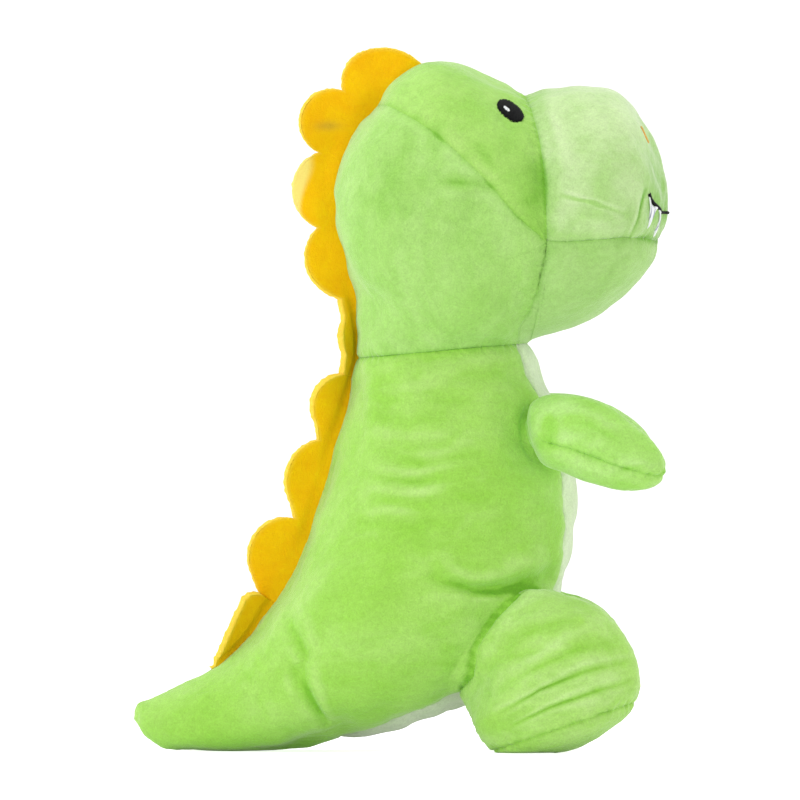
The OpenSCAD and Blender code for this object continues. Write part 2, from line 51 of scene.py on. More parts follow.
# ---------------------------------------------------------------- lofts, in millimetres
# A station is [A x, A z, B x, B z, half width, squareness, bow, middle y], as in the CAD source.
TRUNK = np.array([
    [-105.9, 16.2, -105.9, 12.4, 2.2, 2, 0, 0], [-104.6, 18.8, -103.6, 8.2, 6.5, 2, 0, 0],
    [-101.5, 21.4, -99.5, 4.2, 11, 2, 0, 0], [-95, 24.6, -91.5, 0.8, 15.5, 2, 0, 0],
    [-86, 28, -78, -0.8, 21.2, 2, 0, 0], [-74.8, 33.2, -62, -1.2, 26.5, 2, 0, 0],
    [-65.6, 40.4, -48, 0, 32, 2, 0, 0], [-58.8, 48, -38.5, 1.6, 36.5, 2, 0, 0],
    [-54.2, 54.8, -32, 3, 39.5, 2.05, 0, 0], [-50.3, 60.2, -26.5, 4.2, 42, 2.1, 0, 0],
    [-46.5, 65.5, -21, 5.6, 44.5, 2.15, 0, 0], [-43.6, 70.4, -4, 8.6, 49, 2.2, 0, 0],
    [-41.6, 74.6, 16.4, 15.6, 52.5, 2.2, 0, 0], [-40, 78.4, 38, 27, 54, 2.2, 0, 0],
    [-38.4, 82, 56, 45, 54, 2.2, 0, 0], [-36.6, 86.6, 66.4, 66, 53, 2.2, 0, 0],
    [-34.4, 94, 69.4, 84, 51, 2.2, 0, 0], [-31.2, 104.4, 69.4, 102, 49, 2.2, 0, 0],
    [-26.8, 120.4, 67.6, 120.4, 45.5, 2.2, 0, 0], [-22, 136.4, 62.6, 137, 42, 2.2, 0, 0],
    [-18.8, 150, 55.6, 152, 39, 2.2, 0, 0], [-16.8, 157.2, 51.6, 163.2, 37.5, 2.2, 0, 0]])
HEAD = np.array([
    [-16.8, 157.2, 51.6, 163.2, 37.5, 2.2, 0, 0], [-16.9, 168, 51.73, 163.3, 39.5, 2.2, 0.5, 0],
    [-18.4, 182, 51.85, 163.4, 43, 2.25, 1, 0], [-21.8, 197, 51.98, 163.5, 46.5, 2.3, 1.5, 0],
    [-24.4, 212, 52.1, 163.6, 49, 2.3, 2, 0], [-24, 228, 52.23, 163.7, 50.5, 2.3, 3, 0],
    [-17.2, 246.4, 52.35, 163.8, 51, 2.3, 4, 0], [-3.2, 264.4, 52.48, 164, 51, 2.3, 5, 0],
    [8.4, 272.8, 52.6, 164.1, 50.5, 2.3, 5.5, 0], [20, 273.4, 52.73, 164.2, 50, 2.3, 6, 0],
    [31, 270, 52.85, 164.3, 49, 2.3, 6.5, 0], [41, 265.9, 52.98, 164.4, 47.5, 2.3, 7, 0],
    [50.4, 263, 53.1, 164.5, 46, 2.35, 7, 0],
    [60, 264.3, 63.2, 168.6, 46.5, 2.4, 6, 0], [74, 264.6, 79.2, 176.4, 46, 2.4, 4, 0],
    [86, 262.8, 89.6, 184.4, 42.5, 2.4, 2, 0], [95, 254, 97.2, 192.4, 35, 2.4, 1, 0],
    [101.6, 241, 102.4, 200.6, 24.5, 2.3, 0.5, 0], [105.4, 227.6, 105.4, 209.2, 12, 2.1, 0, 0],
    [106.35, 219.4, 106.35, 216.2, 2.2, 2, 0, 0]])
ARM = np.array([
    [50.4, 133, 50.4, 129, 2, 2, 0, 33], [53, 139.4, 52, 122.6, 9, 2, 0, 35.6],
    [60, 142.4, 57.4, 114.6, 11.6, 2.1, 0, 39.6], [70, 142, 66, 111.4, 11.8, 2.1, 0, 44],
    [82, 138.6, 76, 107.4, 11.5, 2.1, 0, 46.8], [94, 131.6, 87, 104.8, 11, 2.1, 0, 46.8],
    [102, 123.4, 97, 104.8, 8.5, 2, 0, 46.8], [105.4, 116.4, 103.4, 107.4, 4.5, 2, 0, 46.8],
    [106, 113.4, 105.8, 110.6, 1.4, 2, 0, 46.8]])
# the first three rings of a leg are its rounded end, sunk in the body
LEG = np.array([
    [34.2, 49.8, 31.1, 44.7, 1.8, 2, 0, 43], [40, 57.6, 26.9, 36.1, 4.8, 2, 0, 43],
    [48.8, 64.3, 24.9, 25.1, 9.4, 2.05, 0, 41.6], [55.4, 65.4, 26.9, 18.9, 14.8, 2.1, 0, 40.6],
    [64, 63.6, 28.6, 15.2, 20.6, 2.1, 0, 41.8],
    [80.4, 56.8, 31, 9.4, 24.5, 2.1, 0, 45.5], [91.4, 42.6, 34.2, 4.6, 24, 2.1, 0, 45.5],
    [95, 29, 36.4, 2.4, 23, 2.1, 0, 45.5], [93.6, 20.4, 38, 1.4, 22, 2.1, 0, 45.5],
    [90, 15, 40, -0.8, 19.5, 2.1, 0, 45.5], [82.4, 8.6, 45, -1.8, 14.5, 2.1, 0, 45.5],
    [73.4, 3, 52, -1.6, 8.5, 2, 0, 45.5], [64, -0.6, 60.5, -0.9, 1.6, 2, 0, 45.5]])


def spow(x, e):
    return np.sign(x) * np.abs(x) ** e


def smooth(t):
    t = np.clip(t, 0, 1)
    return t * t * (3 - 2 * t)


def unit(a):
    return a / np.maximum(np.linalg.norm(a, axis=-1, keepdims=True), 1e-9)


def bell(x, width):
    return np.exp(-(x / width) ** 2)


def lengths_along(points):
    """How far along a line of points each of them lies."""
    return np.concatenate([[0], np.cumsum(np.linalg.norm(np.diff(points, axis=0), axis=1))])


def tree_of(points):
    tree = kdtree.KDTree(len(points))
    for i, x in enumerate(points):
        tree.insert(x, i)
    tree.balance()
    return tree


def closed_tube(rings):
    """The points and faces of a closed mesh round rings of points, with a middle point at each end."""
    rows, columns = rings.shape[:2]
    flat = rings.reshape(-1, 3)
    e = len(flat)
    around = [(j, (j + 1) % columns) for j in range(columns)]
    faces = [(i * columns + j, i * columns + k, (i + 1) * columns + k, (i + 1) * columns + j)
             for i in range(rows - 1) for j, k in around]
    faces += [(k, j, e) for j, k in around]
    faces += [(e - columns + j, e - columns + k, e + 1) for j, k in around]
    return np.vstack([flat, flat[:columns].mean(0), flat[-columns:].mean(0)]), faces


def station(form, v):
    """The station at v, on a smooth curve through the form's stations."""
    last = len(form) - 1
    s = np.vstack([2 * form[0] - form[1], form, 2 * form[-1] - form[-2]])
    v = np.asarray(v, float)
    i = np.clip(np.floor(v), 0, last - 1).astype(int)
    t = (v - i)[..., None]
    a, b, c, d = s[i], s[i + 1], s[i + 2], s[i + 3]
    return b + t * ((c - a) / 2 + t * ((2 * a - 5 * b + 4 * c - d) / 2 + t * (3 * b - a - 3 * c + d) / 2))


def point(form, u, v):
    """The point at angle u on the ring at v: 0 on the back or top, 90 on the left, 180 on the front or underside."""
    s = station(form, v)
    c = spow(np.cos(np.radians(u)), 2 / s[..., 5])
    q = spow(np.sin(np.radians(u)), 2 / s[..., 5])
    hx, hz = (s[..., 0] - s[..., 2]) / 2, (s[..., 1] - s[..., 3]) / 2
    h = np.maximum(np.hypot(hx, hz), 0.01)
    push = s[..., 6] * q * q
    return np.stack([(s[..., 0] + s[..., 2]) / 2 + hx * c + hz / h * push, s[..., 7] + s[..., 4] * q,
                     (s[..., 1] + s[..., 3]) / 2 + hz * c - hx / h * push], -1)


NECK_UP = np.array([-0.0874, 0, 0.9962])


def outward(form, u, v):
    """The unit normal. The head and the body share one at the neck seam, so that their covers meet."""
    w = np.clip(v, 0.1, len(form) - 1.1)
    along = point(form, u, w + 0.05) - point(form, u, w - 0.05)
    around = point(form, u + 1.0, w) - point(form, u - 1.0, w)
    n = unit(np.cross(along, around))
    if form is HEAD or form is TRUNK:
        flat = unit(np.cross(np.broadcast_to(NECK_UP, around.shape), around))
        k = smooth(v / 1.5 if form is HEAD else (21 - v) / 1.5)[..., None]
        n = unit(n * k + flat * (1 - k))
    return n


# ---------------------------------------------------------------- seams, as angles round a ring
def crown_seam(v):
    return 100 * (1 - np.exp(-1.28 * np.clip(v - 6.6, 0, None) ** 0.75))


def jaw_seam(v):
    """Level along the muzzle, and turning down behind it to the neck."""
    behind = 51.1 * np.sqrt(np.clip(1 - np.clip(v / 12, 0, 1) ** 4, 0, 1))
    f = np.clip((v - 12) / 5.5, 0, 1)
    return 98.9 + behind + 81.1 * (0.44 * f ** 1.4 + 0.56 * f ** 12)


def angle_of_width(v, half_w):
    s = station(TRUNK, v)
    return 180 - np.degrees(np.arcsin(np.clip(half_w / s[..., 4], 0, 1) ** (s[..., 5] / 2)))


def base_half(v):
    return 19.5 * np.clip((v - 9.6) / 2.8, 0, 1) ** 0.6 + 9 * np.sin(math.pi * np.clip((v - 9.6) / 3.8, 0, 1))


def lower_seam(v):
    return angle_of_width(v, np.where(v < 13.4, base_half(v), 19.5))


ARM_SEAM = 110


def near_hip(p):
    """How far points lie behind the ring that the leg is sewn to, and how far up along it."""
    dx, dz = p[..., 0] - 41.1, p[..., 2] - 42.1
    return -(dx * 0.853 - dz * 0.521), dx * 0.521 + dz * 0.853


def settle(p, form_name):
    """The body fills out to meet the leg, and the underside of the leg's end leans in to the body."""
    if form_name not in ("trunk", "leg"):
        return p
    side = np.where(p[..., 1] < 0, -1.0, 1.0)
    y = np.abs(p[..., 1])
    behind, along = near_hip(p)
    if form_name == "trunk":
        f = np.clip(np.abs(along - 3) / 38.0, 0, 1)
        wanted = 46.8 * (1 - f ** 2.6) ** (1 / 2.6)
        y = y + (np.maximum(wanted - y, 0) * (1 - smooth((behind - 6) / 26)) * smooth((behind + 14) / 12)
                 * smooth((y - 19.5) / 10) * smooth((along + 30) / 16) * smooth((34 - along) / 10))
    else:
        y = y - 9.5 * smooth((-along - 3) / 24) * smooth((behind + 13) / 15)
    q = p.copy()
    q[..., 1] = side * y
    return q


def both(p):
    return [p, p * np.array([1, -1, 1])]


t = np.linspace(0, 1, 900)
ones = np.ones_like(t)
# each seam is (points, depth, breadth of the dip, pucker)
head_seams, trunk_seams, arm_seams, leg_seams = [], [], [], []
for p in both(point(HEAD, crown_seam(6.6 + 5.4 * t ** 3), 6.6 + 5.4 * t ** 3)):
    head_seams.append((p, 0.22 + 0.3 * smooth((t - 0.5) / 0.4), 2.4, 0.15))
for p in both(point(HEAD, 98.9 * t, 12 * ones)):
    head_seams.append((p, 1.0, 3.6, 0.3))
back = 12 * (1 - (1 - t) ** 2)
for p in both(point(HEAD, jaw_seam(back), back)):
    head_seams.append((p, 1.1, 4.0, 0.3))
front = 12 + 5.5 * (1 - (1 - t) ** 1.6)
for p in both(point(HEAD, jaw_seam(front), front)):
    head_seams.append((p, 0.9, 3.2, 0.3))
head_seams.append((point(HEAD, 360 * t, 0 * t), 0.85, 3.2, 0.4))
head_seams.append((point(HEAD, 0 * t, 8 * t), 0.4, 3.0, 0.2))
trunk_seams.append((point(TRUNK, 360 * t, 21 * ones), 0.85, 3.2, 0.4))
trunk_seams.append((point(TRUNK, 0 * t, 4.5 + 16.5 * t), 0.5, 3.0, 0.2))
for p in both(point(TRUNK, lower_seam(9.6 + 11.4 * t), 9.6 + 11.4 * t)):
    trunk_seams.append((p, 0.9, 3.4, 0.2))
trunk_seams.append((point(TRUNK, 180 * ones, 0.6 + 9 * t), 0.8, 3.4, 0.4))
q = angle_of_width(13.4, 19.5)
trunk_seams.append((point(TRUNK, q + (360 - 2 * q) * t, 13.4 * ones), 0.9, 3.0, 0.4))
for p in both(point(ARM, ARM_SEAM * ones, 2.2 + 5.6 * t)) + both(point(ARM, -ARM_SEAM * ones, 1.4 + 6.4 * t)):
    arm_seams.append((p, 0.75, 2.6, 0.6))
SOLE = 8
for u in (0, 180):
    for p in both(settle(point(LEG, u * ones, 3 + 5 * t), "leg")):
        leg_seams.append((p, 0.7, 3.0, 0.5))
for p in both(point(LEG, 360 * t, SOLE * ones)):
    leg_seams.append((p, 0.75, 3.2, 0.6))


SEAM_STEP = 0.45


class Near:
    """The nearest of a set of seam points, with how deep and broad each seam is there."""

    def __init__(self, seams):
        rows = []
        for p, depth, broad, pucker in seams:
            s = lengths_along(p)
            at = np.arange(0, s[-1], SEAM_STEP)
            keep = np.interp(at, s, np.arange(len(s)))
            i = np.floor(keep).astype(int).clip(0, len(p) - 2)
            f = (keep - i)[:, None]
            depths = np.interp(keep, np.arange(len(p)), depth * np.ones(len(p)))
            ones = np.ones(len(at))
            rows.append(np.column_stack([p[i] * (1 - f) + p[i + 1] * f, depths, broad * ones, pucker * ones, at]))
        self.data = np.vstack(rows)
        self.tree = tree_of(self.data[:, :3])

    def find(self, p):
        found = [self.tree.find(x) for x in p.reshape(-1, 3)]
        i = np.array([f[1] for f in found])
        d = np.array([f[2] for f in found])
        return d.reshape(p.shape[:-1]), self.data[i].reshape(p.shape[:-1] + (7,))


def waves(seed, length, count=14):
    """A smooth random field of about unit height, with bumps about length across."""
    r = np.random.default_rng(seed)
    k = r.normal(size=(count, 3))
    k = k / np.linalg.norm(k, axis=1, keepdims=True) * (2 * math.pi / (length * r.uniform(0.75, 1.5, (count, 1))))
    a = r.uniform(0, 2 * math.pi, count)

    def field(p):
        return np.sin(p @ k.T + a).sum(-1) / math.sqrt(count / 2)
    return field


broad_field = waves(3, 48)
middle_field = waves(5, 17)
fine_field = waves(9, 7)
pucker_field = waves(12, 6.5)

# Folds and creases: (form, line in side view, depth, half width, ridge beside it, how strong the painted shade in the
# dip and the painted highlight on the ridge are)
STROKES = [
    ("head", [(14, 227.6), (27, 227), (39.2, 225.2)], 0.75, 1.7, 0.2, 0.8),
    ("head", [(15.2, 252.8), (15.4, 242), (13.2, 232)], 0.45, 2.2, 0.2, 0.5),
    ("head", [(30, 243), (34, 237), (39.2, 230.6)], 0.35, 2.0, 0.2, 0.6),
    ("head", [(64, 222), (78, 218.6), (91, 214)], 0.4, 0.9, 0.12, 0.8),
    ("head", [(92, 203.5), (94.6, 214), (97, 225)], 0.55, 0.8, 0.12, 1.1),
    ("head", [(58, 255), (62, 240), (64, 228)], 0.3, 1.8, 0.15, 0.4),
    ("head", [(55, 240), (55, 224), (51, 211)], 0.25, 5.0, 0.1, 0.9),
    ("head", [(-16, 196), (-12, 184), (-10, 172)], 0.5, 5, 0.0, 0.3),
    ("head", [(-6, 212), (-2, 224), (-2, 238)], 0.3, 7, 0.0, 0.5),
    ("trunk", [(12, 72), (18, 68.6), (28, 65.6), (42, 65.6), (54, 68.4), (62, 71)], 3.4, 3.0, 1.8, 1.5),
    ("trunk", [(28, 63.8), (40, 63.6), (50, 66.4)], 1.0, 1.4, 0.0, 1.6),
    ("trunk", [(-12, 142), (8, 139), (30, 140.6)], 0.4, 2.6, 0.35, 0.8),
    ("trunk", [(-14, 134.4), (4, 132), (24, 133.6)], 0.5, 2.6, 0.4, 0.9),
    ("trunk", [(-12, 124), (6, 122), (22, 123.4)], 0.45, 2.2, 0.4, 0.7),
    ("trunk", [(-16, 118.6), (10, 115.6), (36, 119.4)], 0.6, 2.8, 0.45, 1.0),
    ("trunk", [(-18, 111), (8, 108), (32, 111.6)], 0.7, 2.6, 0.5, 1.0),
    ("trunk", [(-14, 101), (12, 99), (38, 103.6)], 0.7, 2.6, 0.5, 1.0),
    ("trunk", [(-20, 92.6), (4, 90), (26, 93.6)], 0.5, 3.0, 0.4, 0.9),
    ("trunk", [(-18, 84), (0, 82.4), (14, 84)], 0.25, 3.0, 0.2, 0.4),
    ("trunk", [(22, 152), (34, 149.4), (44, 152.4)], 0.35, 2.4, 0.25, 0.6),
    ("trunk", [(-47, 57), (-42.4, 46.4), (-37.4, 36)], 1.7, 2.3, 0.8, 1.1),
    ("trunk", [(-42, 35.6), (-35.6, 23), (-28, 11)], 2.6, 2.6, 1.1, 1.4),
    ("trunk", [(-50, 44), (-44, 34), (-40, 24)], 0.6, 2.2, 0.4, 0.5),
    ("trunk", [(-65, 36), (-59, 27)], 0.7, 2.6, 0.3, 0.5),
    ("trunk", [(-57.6, 20.6), (-50.6, 13.8)], 0.55, 2.4, 0.3, 0.4),
    ("trunk", [(-46, 12), (-41, 5)], 0.45, 2.4, 0.2, 0.4),
    ("trunk", [(10, 56), (18, 44), (20, 30)], 0.5, 5, 0.0, 0.5),
    ("leg", [(34, 22), (50, 33), (72, 42), (90, 45)], 0.8, 2.8, 0.5, 1.0),
    ("leg", [(38, 14.8), (56, 25.4), (74, 33), (92, 36.4)], 1.3, 1.0, 0.5, 1.3),
    ("leg", [(44, 10.8), (60, 18.6), (78, 25), (92, 29)], 1.2, 0.9, 0.4, 1.3),
    ("leg", [(44, 54), (56, 58), (70, 57)], 0.4, 2.6, 0.3, 0.7),
    ("leg", [(38, 42), (54, 50), (74, 51.6)], 0.5, 2.6, 0.4, 0.9),
    ("leg", [(33, 32), (44, 38.4), (58, 43)], 0.45, 2.0, 0.3, 0.8),
    ("arm", [(56, 120), (60, 127), (59.4, 136)], 0.6, 2.2, 0.5, 0.9),
    ("arm", [(62, 133), (76, 131), (88, 124)], 0.35, 2.6, 0.4, 0.8),
    ("arm", [(84, 110.2), (92, 113.4), (99, 113.6)], 0.3, 1.4, 0.2, 0.5),
]


def strokes(form_name, p, n):
    """How far folds push each point, with a dip along the line and a soft ridge beside it, and the painted light: shade
    in the dip, a highlight on the ridge.
    """
    out, tone = np.zeros(p.shape[:-1]), np.zeros(p.shape[:-1])
    facing = smooth((np.abs(n[..., 1]) - 0.12) / 0.4)
    gain = 1.15 if form_name == "head" else 0.8
    for number, (form, pts, depth, width, ridge, strength) in enumerate(STROKES):
        if form != form_name:
            continue
        pts = np.array(pts, float)
        best = np.full(p.shape[:-1], 1e9)
        where, up = np.zeros(p.shape[:-1]), np.zeros(p.shape[:-1])
        starts = lengths_along(pts)
        # the far side gets the same folds, a little out of place
        far = p[..., 1] > 0
        x = p[..., 0] + np.where(far, 2.2 * math.sin(number * 1.7), 0)
        z = p[..., 2] + np.where(far, 2.2 * math.cos(number * 2.3), 0)
        for a, b, s0, s1 in zip(pts[:-1], pts[1:], starts[:-1], starts[1:]):
            d = (b - a) / (s1 - s0)
            along = np.clip((x - a[0]) * d[0] + (z - a[1]) * d[1], 0, s1 - s0)
            dx, dz = x - a[0] - along * d[0], z - a[1] - along * d[1]
            dist = np.hypot(dx, dz)
            closer = dist < best
            best = np.where(closer, dist, best)
            where = np.where(closer, s0 + along, where)
            up = np.where(closer, -dx * d[1] + dz * d[0], up)
        f = np.clip(where / starts[-1], 0, 1)
        ends = np.sqrt(np.clip(np.sin(f * math.pi), 0, 1))
        wide = width * (1.05 + 0.4 * np.sin(where / 9.0 + number))
        dip = ends * bell(best, wide) * facing
        side = ends * bell(best - 2.1 * wide, 1.2 * wide) * facing * np.where(up > 0, 1.0, 0.55)
        out += gain * (0.9 * ridge * side - depth * dip)
        # painted shade in each fold's dip and a painted highlight on its ridge
        tone += strength * gain * (0.4 * side - 0.8 * dip)
    return out, tone


seam_near = {"head": Near(head_seams), "trunk": Near(trunk_seams), "arm": Near(arm_seams), "leg": Near(leg_seams)}
FORMS = {"head": HEAD, "trunk": TRUNK, "arm": ARM, "leg": LEG}

# ---------------------------------------------------------------- stuffing: a coarse cloth of each form swells


FRAMES = 20


def swell(name, v_from, v_to, rows, columns, pressure, cap):
    """Swells a coarse mesh of a form between its seams. Returns a tree of its points, and how far each moved out."""
    form = FORMS[name]
    v, u = np.meshgrid(np.linspace(v_from, v_to, rows), np.arange(columns) * 360.0 / columns, indexing="ij")
    p, n = settle(point(form, u, v), name), outward(form, u, v)
    if name == "leg" or name == "trunk":
        p[..., 2] = np.maximum(p[..., 2], 0.4)
    d, _ = seam_near[name].find(p)
    flat = p.reshape(-1, 3)
    e = len(flat)
    verts, faces = closed_tube(p)
    me = bpy.data.meshes.new("swell_" + name)
    me.from_pydata((verts * MM).tolist(), [], faces)
    me.update()
    ob = bpy.data.objects.new("swell_" + name, me)
    bpy.context.scene.collection.objects.link(ob)
    pin = ob.vertex_groups.new(name="pin")
    for i, w in enumerate(np.clip(1.5 - d.reshape(-1) / 3.0, 0, 1)):
        if w > 0.02:
            pin.add([i], float(w), "REPLACE")
    pin.add([e, e + 1], 1.0, "REPLACE")
    cloth = ob.modifiers.new("Cloth", "CLOTH")
    s = cloth.settings
    s.quality = 6
    s.mass = 0.25
    s.tension_stiffness = s.compression_stiffness = 12
    s.shear_stiffness = 8
    s.bending_stiffness = 0.6
    s.shrink_min = -0.05
    s.use_pressure = True
    s.uniform_pressure_force = pressure
    s.vertex_group_mass = "pin"
    s.effector_weights.gravity = 0
    cloth.collision_settings.use_self_collision = False
    cloth.point_cache.frame_start, cloth.point_cache.frame_end = 1, FRAMES
    for f in range(1, FRAMES + 1):
        bpy.context.scene.frame_set(f)
    evaluated = ob.evaluated_get(bpy.context.evaluated_depsgraph_get())
    grown = evaluated.to_mesh()
    co = np.empty(len(grown.vertices) * 3)
    grown.vertices.foreach_get("co", co)
    evaluated.to_mesh_clear()
    moved = co.reshape(-1, 3)[:e] / MM - flat
    out = (moved * n.reshape(-1, 3)).sum(1)
    out = cap * np.tanh(out / cap)
    ob.modifiers.clear()
    bpy.context.scene.frame_set(1)
    bpy.data.objects.remove(ob)
    bpy.data.meshes.remove(me)
    print("swell", name, e, "points, moved", round(float(out.min()), 2), round(float(out.max()), 2))
    return tree_of(flat), out


swollen = {}
swollen["head"] = swell("head", 0, 18.8, 44, 76, 3.0, 1.8)
swollen["trunk"] = swell("trunk", 0.4, 21, 58, 76, 3.0, 1.8)
swollen["arm"] = swell("arm", 0.3, 7.8, 24, 30, 3.0, 1.2)
swollen["leg"] = swell("leg", 2.5, 11.6, 34, 46, 3.0, 1.5)


def swelling(name, p):
    """The stuffing's push at each point of p, smoothed between the coarse mesh's points."""
    if name not in swollen:
        return np.zeros(p.shape[:-1])
    tree, out = swollen[name]
    flat = p.reshape(-1, 3)
    result = np.empty(len(flat))
    for k, x in enumerate(flat):
        near = tree.find_n(x, 12)
        w = np.array([math.exp(-(f[2] / 5.0) ** 2) + 1e-9 for f in near])
        result[k] = (w * out[[f[1] for f in near]]).sum() / w.sum()
    return result.reshape(p.shape[:-1])


# ---------------------------------------------------------------- where the limbs meet the body
RING = 48


def inside_of(form, vs):
    """A function that says how deep points on the left lie inside a closed form: positive inside."""
    v, u = np.meshgrid(vs, np.arange(RING) * 360.0 / RING, indexing="ij")
    p, faces = closed_tube(point(form, u, v))
    p = settle(p, "leg" if form is LEG else "")
    tree = BVHTree.FromPolygons([tuple(x) for x in p], faces)
    core = Vector(p[:-2].mean(0))
    where, normal, _, _ = tree.find_nearest(core)
    turned = 1 if (core - where).dot(normal) < 0 else -1

    def depth(points):
        flat = points.reshape(-1, 3)
        out = np.empty(len(flat))
        for i, x in enumerate(flat):
            where, normal, _, dist = tree.find_nearest(Vector(x))
            out[i] = dist if (Vector(x) - where).dot(normal) * turned < 0 else -dist
        return out.reshape(points.shape[:-1])
    return depth


class Meeting:
    """The curve where a limb meets the body: body points on the left, between lo and hi, on the limb's surface."""

    def __init__(self, limb_depth, lo, hi):
        v, u = np.meshgrid(np.linspace(9, 21, 220), np.linspace(20, 175, 200), indexing="ij")
        p = settle(point(TRUNK, u, v), "trunk")
        p = p[((p > np.array(lo)) & (p < np.array(hi))).all(-1)]
        self.points = p[np.abs(limb_depth(p)) < 0.7]
        self.tree = tree_of(self.points)

    def distance(self, p):
        q = p.copy()
        q[..., 1] = np.abs(q[..., 1])
        return np.array([self.tree.find(x)[2] for x in q.reshape(-1, 3)]).reshape(p.shape[:-1])


leg_depth = inside_of(LEG, np.linspace(0, 12, 60))
arm_depth = inside_of(ARM, np.linspace(0, 8, 33))
leg_meets = Meeting(leg_depth, (20, 14, 5), (80, 75, 80))
arm_meets = Meeting(arm_depth, (40, 25, 98), (90, 70, 150))
print("meeting points", len(leg_meets.points), len(arm_meets.points))


# ---------------------------------------------------------------- relief of the cover
LUMPS = {"head": 0.55, "trunk": 0.6, "arm": 0.22, "leg": 0.42}
STITCH = 5.3     # between the gathers along a seam
LAND = 1.2       # how high above the floor the cover starts to flatten


def painted_highlight_and_shade(name, x, z):
    """Painted highlights and shade by place in side view: paler tops to the muzzle, the crown and the arm, a darker
    front to the muzzle and a darker patch below the eye.
    """
    if name == "arm":
        return 0.5 * bell(x - 62, 9) * bell(z - 137, 6)
    if name != "head":
        return 0.0
    muzzle = 0.5 * smooth((z - 226) / 32) * smooth((x - 56) / 6) - 0.7 * smooth((x - 92) / 8) * smooth((z - 196) / 10)
    return muzzle - 0.4 * bell(x - 44, 8) * bell(z - 236, 14) + 0.35 * bell(x - 6, 16) * bell(z - 262, 9)


def relief(name, p, n):
    """Moves the points of a form's cover in and out: stuffing, seams, folds and lumps. Also gives the painted light:
    shade along seams, folds and creases, highlights beside them and on lit tops.
    """
    d, row = seam_near[name].find(p)
    depth, wide, pucker, along = row[..., 3], row[..., 4], row[..., 5], row[..., 6]
    uneven = pucker_field(p)
    gather = 1 + pucker * np.sin(along * 2 * math.pi / STITCH + 1.6 * uneven) + 0.25 * uneven
    out = swelling(name, p) - depth * (0.55 * bell(d, 0.85) + 0.75 * gather * bell(d, wide))
    out += 0.32 * depth * bell(d - 2.2 * wide, 1.1 * wide)
    out += smooth((d - 1.0) / 9.0) * (LUMPS[name] * broad_field(p) + 0.16 * middle_field(p))
    out += 0.05 * fine_field(p) * smooth(d / 3)
    folds, tone = strokes(name, p, n)
    out += folds
    tone = tone + painted_highlight_and_shade(name, p[..., 0], p[..., 2])
    if name in ("trunk", "leg"):
        m = leg_meets.distance(p)
        out -= 1.2 * bell(m, 0.95) + 0.3 * bell(m, 3.0)
        # painted shade in the crease where the leg meets the body
        tone = tone - 0.8 * bell(m, 1.1) - 0.1 * bell(m, 4.0)
    if name in ("trunk", "arm"):
        m = arm_meets.distance(p)
        out -= 0.9 * bell(m, 1.2) + 0.5 * bell(m, 3.5)
    if name == "head":
        # the cover is drawn tight where the jaw meets the neck
        throat = np.hypot(p[..., 0] - 52, p[..., 2] - 163.5)
        out = out * (0.12 + 0.88 * smooth((throat - 3) / 18))
        tone = tone * smooth((throat - 1) / 8)
    q = p + n * out[..., None]
    low = np.minimum(q[..., 2], LAND)
    q[..., 2] = np.where(q[..., 2] < LAND, LAND * np.exp((low - LAND) / LAND), q[..., 2])
    # painted shade along each seam, with a painted highlight on the ridge beside it
    return q, tone - 0.5 * bell(d, 1.1) + 0.16 * bell(d - 1.6 * wide, wide)


# ---------------------------------------------------------------- making meshes
pieces = {}


def to_object(name, verts, faces, attributes=()):
    me = bpy.data.meshes.new(name)
    me.from_pydata((np.asarray(verts) * MM).tolist(), [], faces)
    for key, values in attributes:
        me.attributes.new(key, "FLOAT", "POINT").data.foreach_set("value", np.asarray(values, np.float32))
    me.update()
    me.polygons.foreach_set("use_smooth", [True] * len(me.polygons))
    ob = bpy.data.objects.new(name, me)
    bpy.context.scene.collection.objects.link(ob)
    pieces[name] = ob
    return ob


def grid_faces(rows, cols, flip=False):
    i, j = np.meshgrid(np.arange(rows - 1), np.arange(cols - 1), indexing="ij")
    f = np.stack([i * cols + j, i * cols + j + 1, (i + 1) * cols + j + 1, (i + 1) * cols + j], -1).reshape(-1, 4)
    return (f[:, ::-1] if flip else f).tolist()


HEM = (0.7, 1.9)     # how deep the two rows of a turned-in hem lie


def hemmed(q, n, tone, axis, last):
    """Turns in one edge of a grid: two more rows, each deeper than the one before."""
    edge = [slice(None), slice(None)]
    edge[axis] = slice(-1, None) if last else slice(0, 1)
    edge = tuple(edge)
    order = 1 if last else -1
    q = np.concatenate([q, q[edge] - n[edge] * HEM[0], q[edge] - n[edge] * HEM[1]][::order], axis)
    n = np.concatenate([n, n[edge], n[edge]][::order], axis)
    return q, n, np.concatenate([tone, tone[edge], tone[edge]][::order], axis)


def closed(q, n, tone, middle, last):
    """Closes a tube's end: a half-size ring, and then all its points at the middle."""
    edge, order = (slice(-1, None), 1) if last else (slice(0, 1), -1)
    tip = np.repeat(middle[None, None], q.shape[1], 1)
    q = np.concatenate([q, q[edge] * 0.5 + middle * 0.5, tip][::order])
    n = np.concatenate([n, n[edge], n[edge]][::order])
    return q, n, np.concatenate([tone, tone[edge], tone[edge]][::order])


def ring_middle(form, v, side):
    return point(form, np.array([0.0, 90, 180, 270]), np.full(4, float(v))).mean(0) * np.array([1, side, 1])


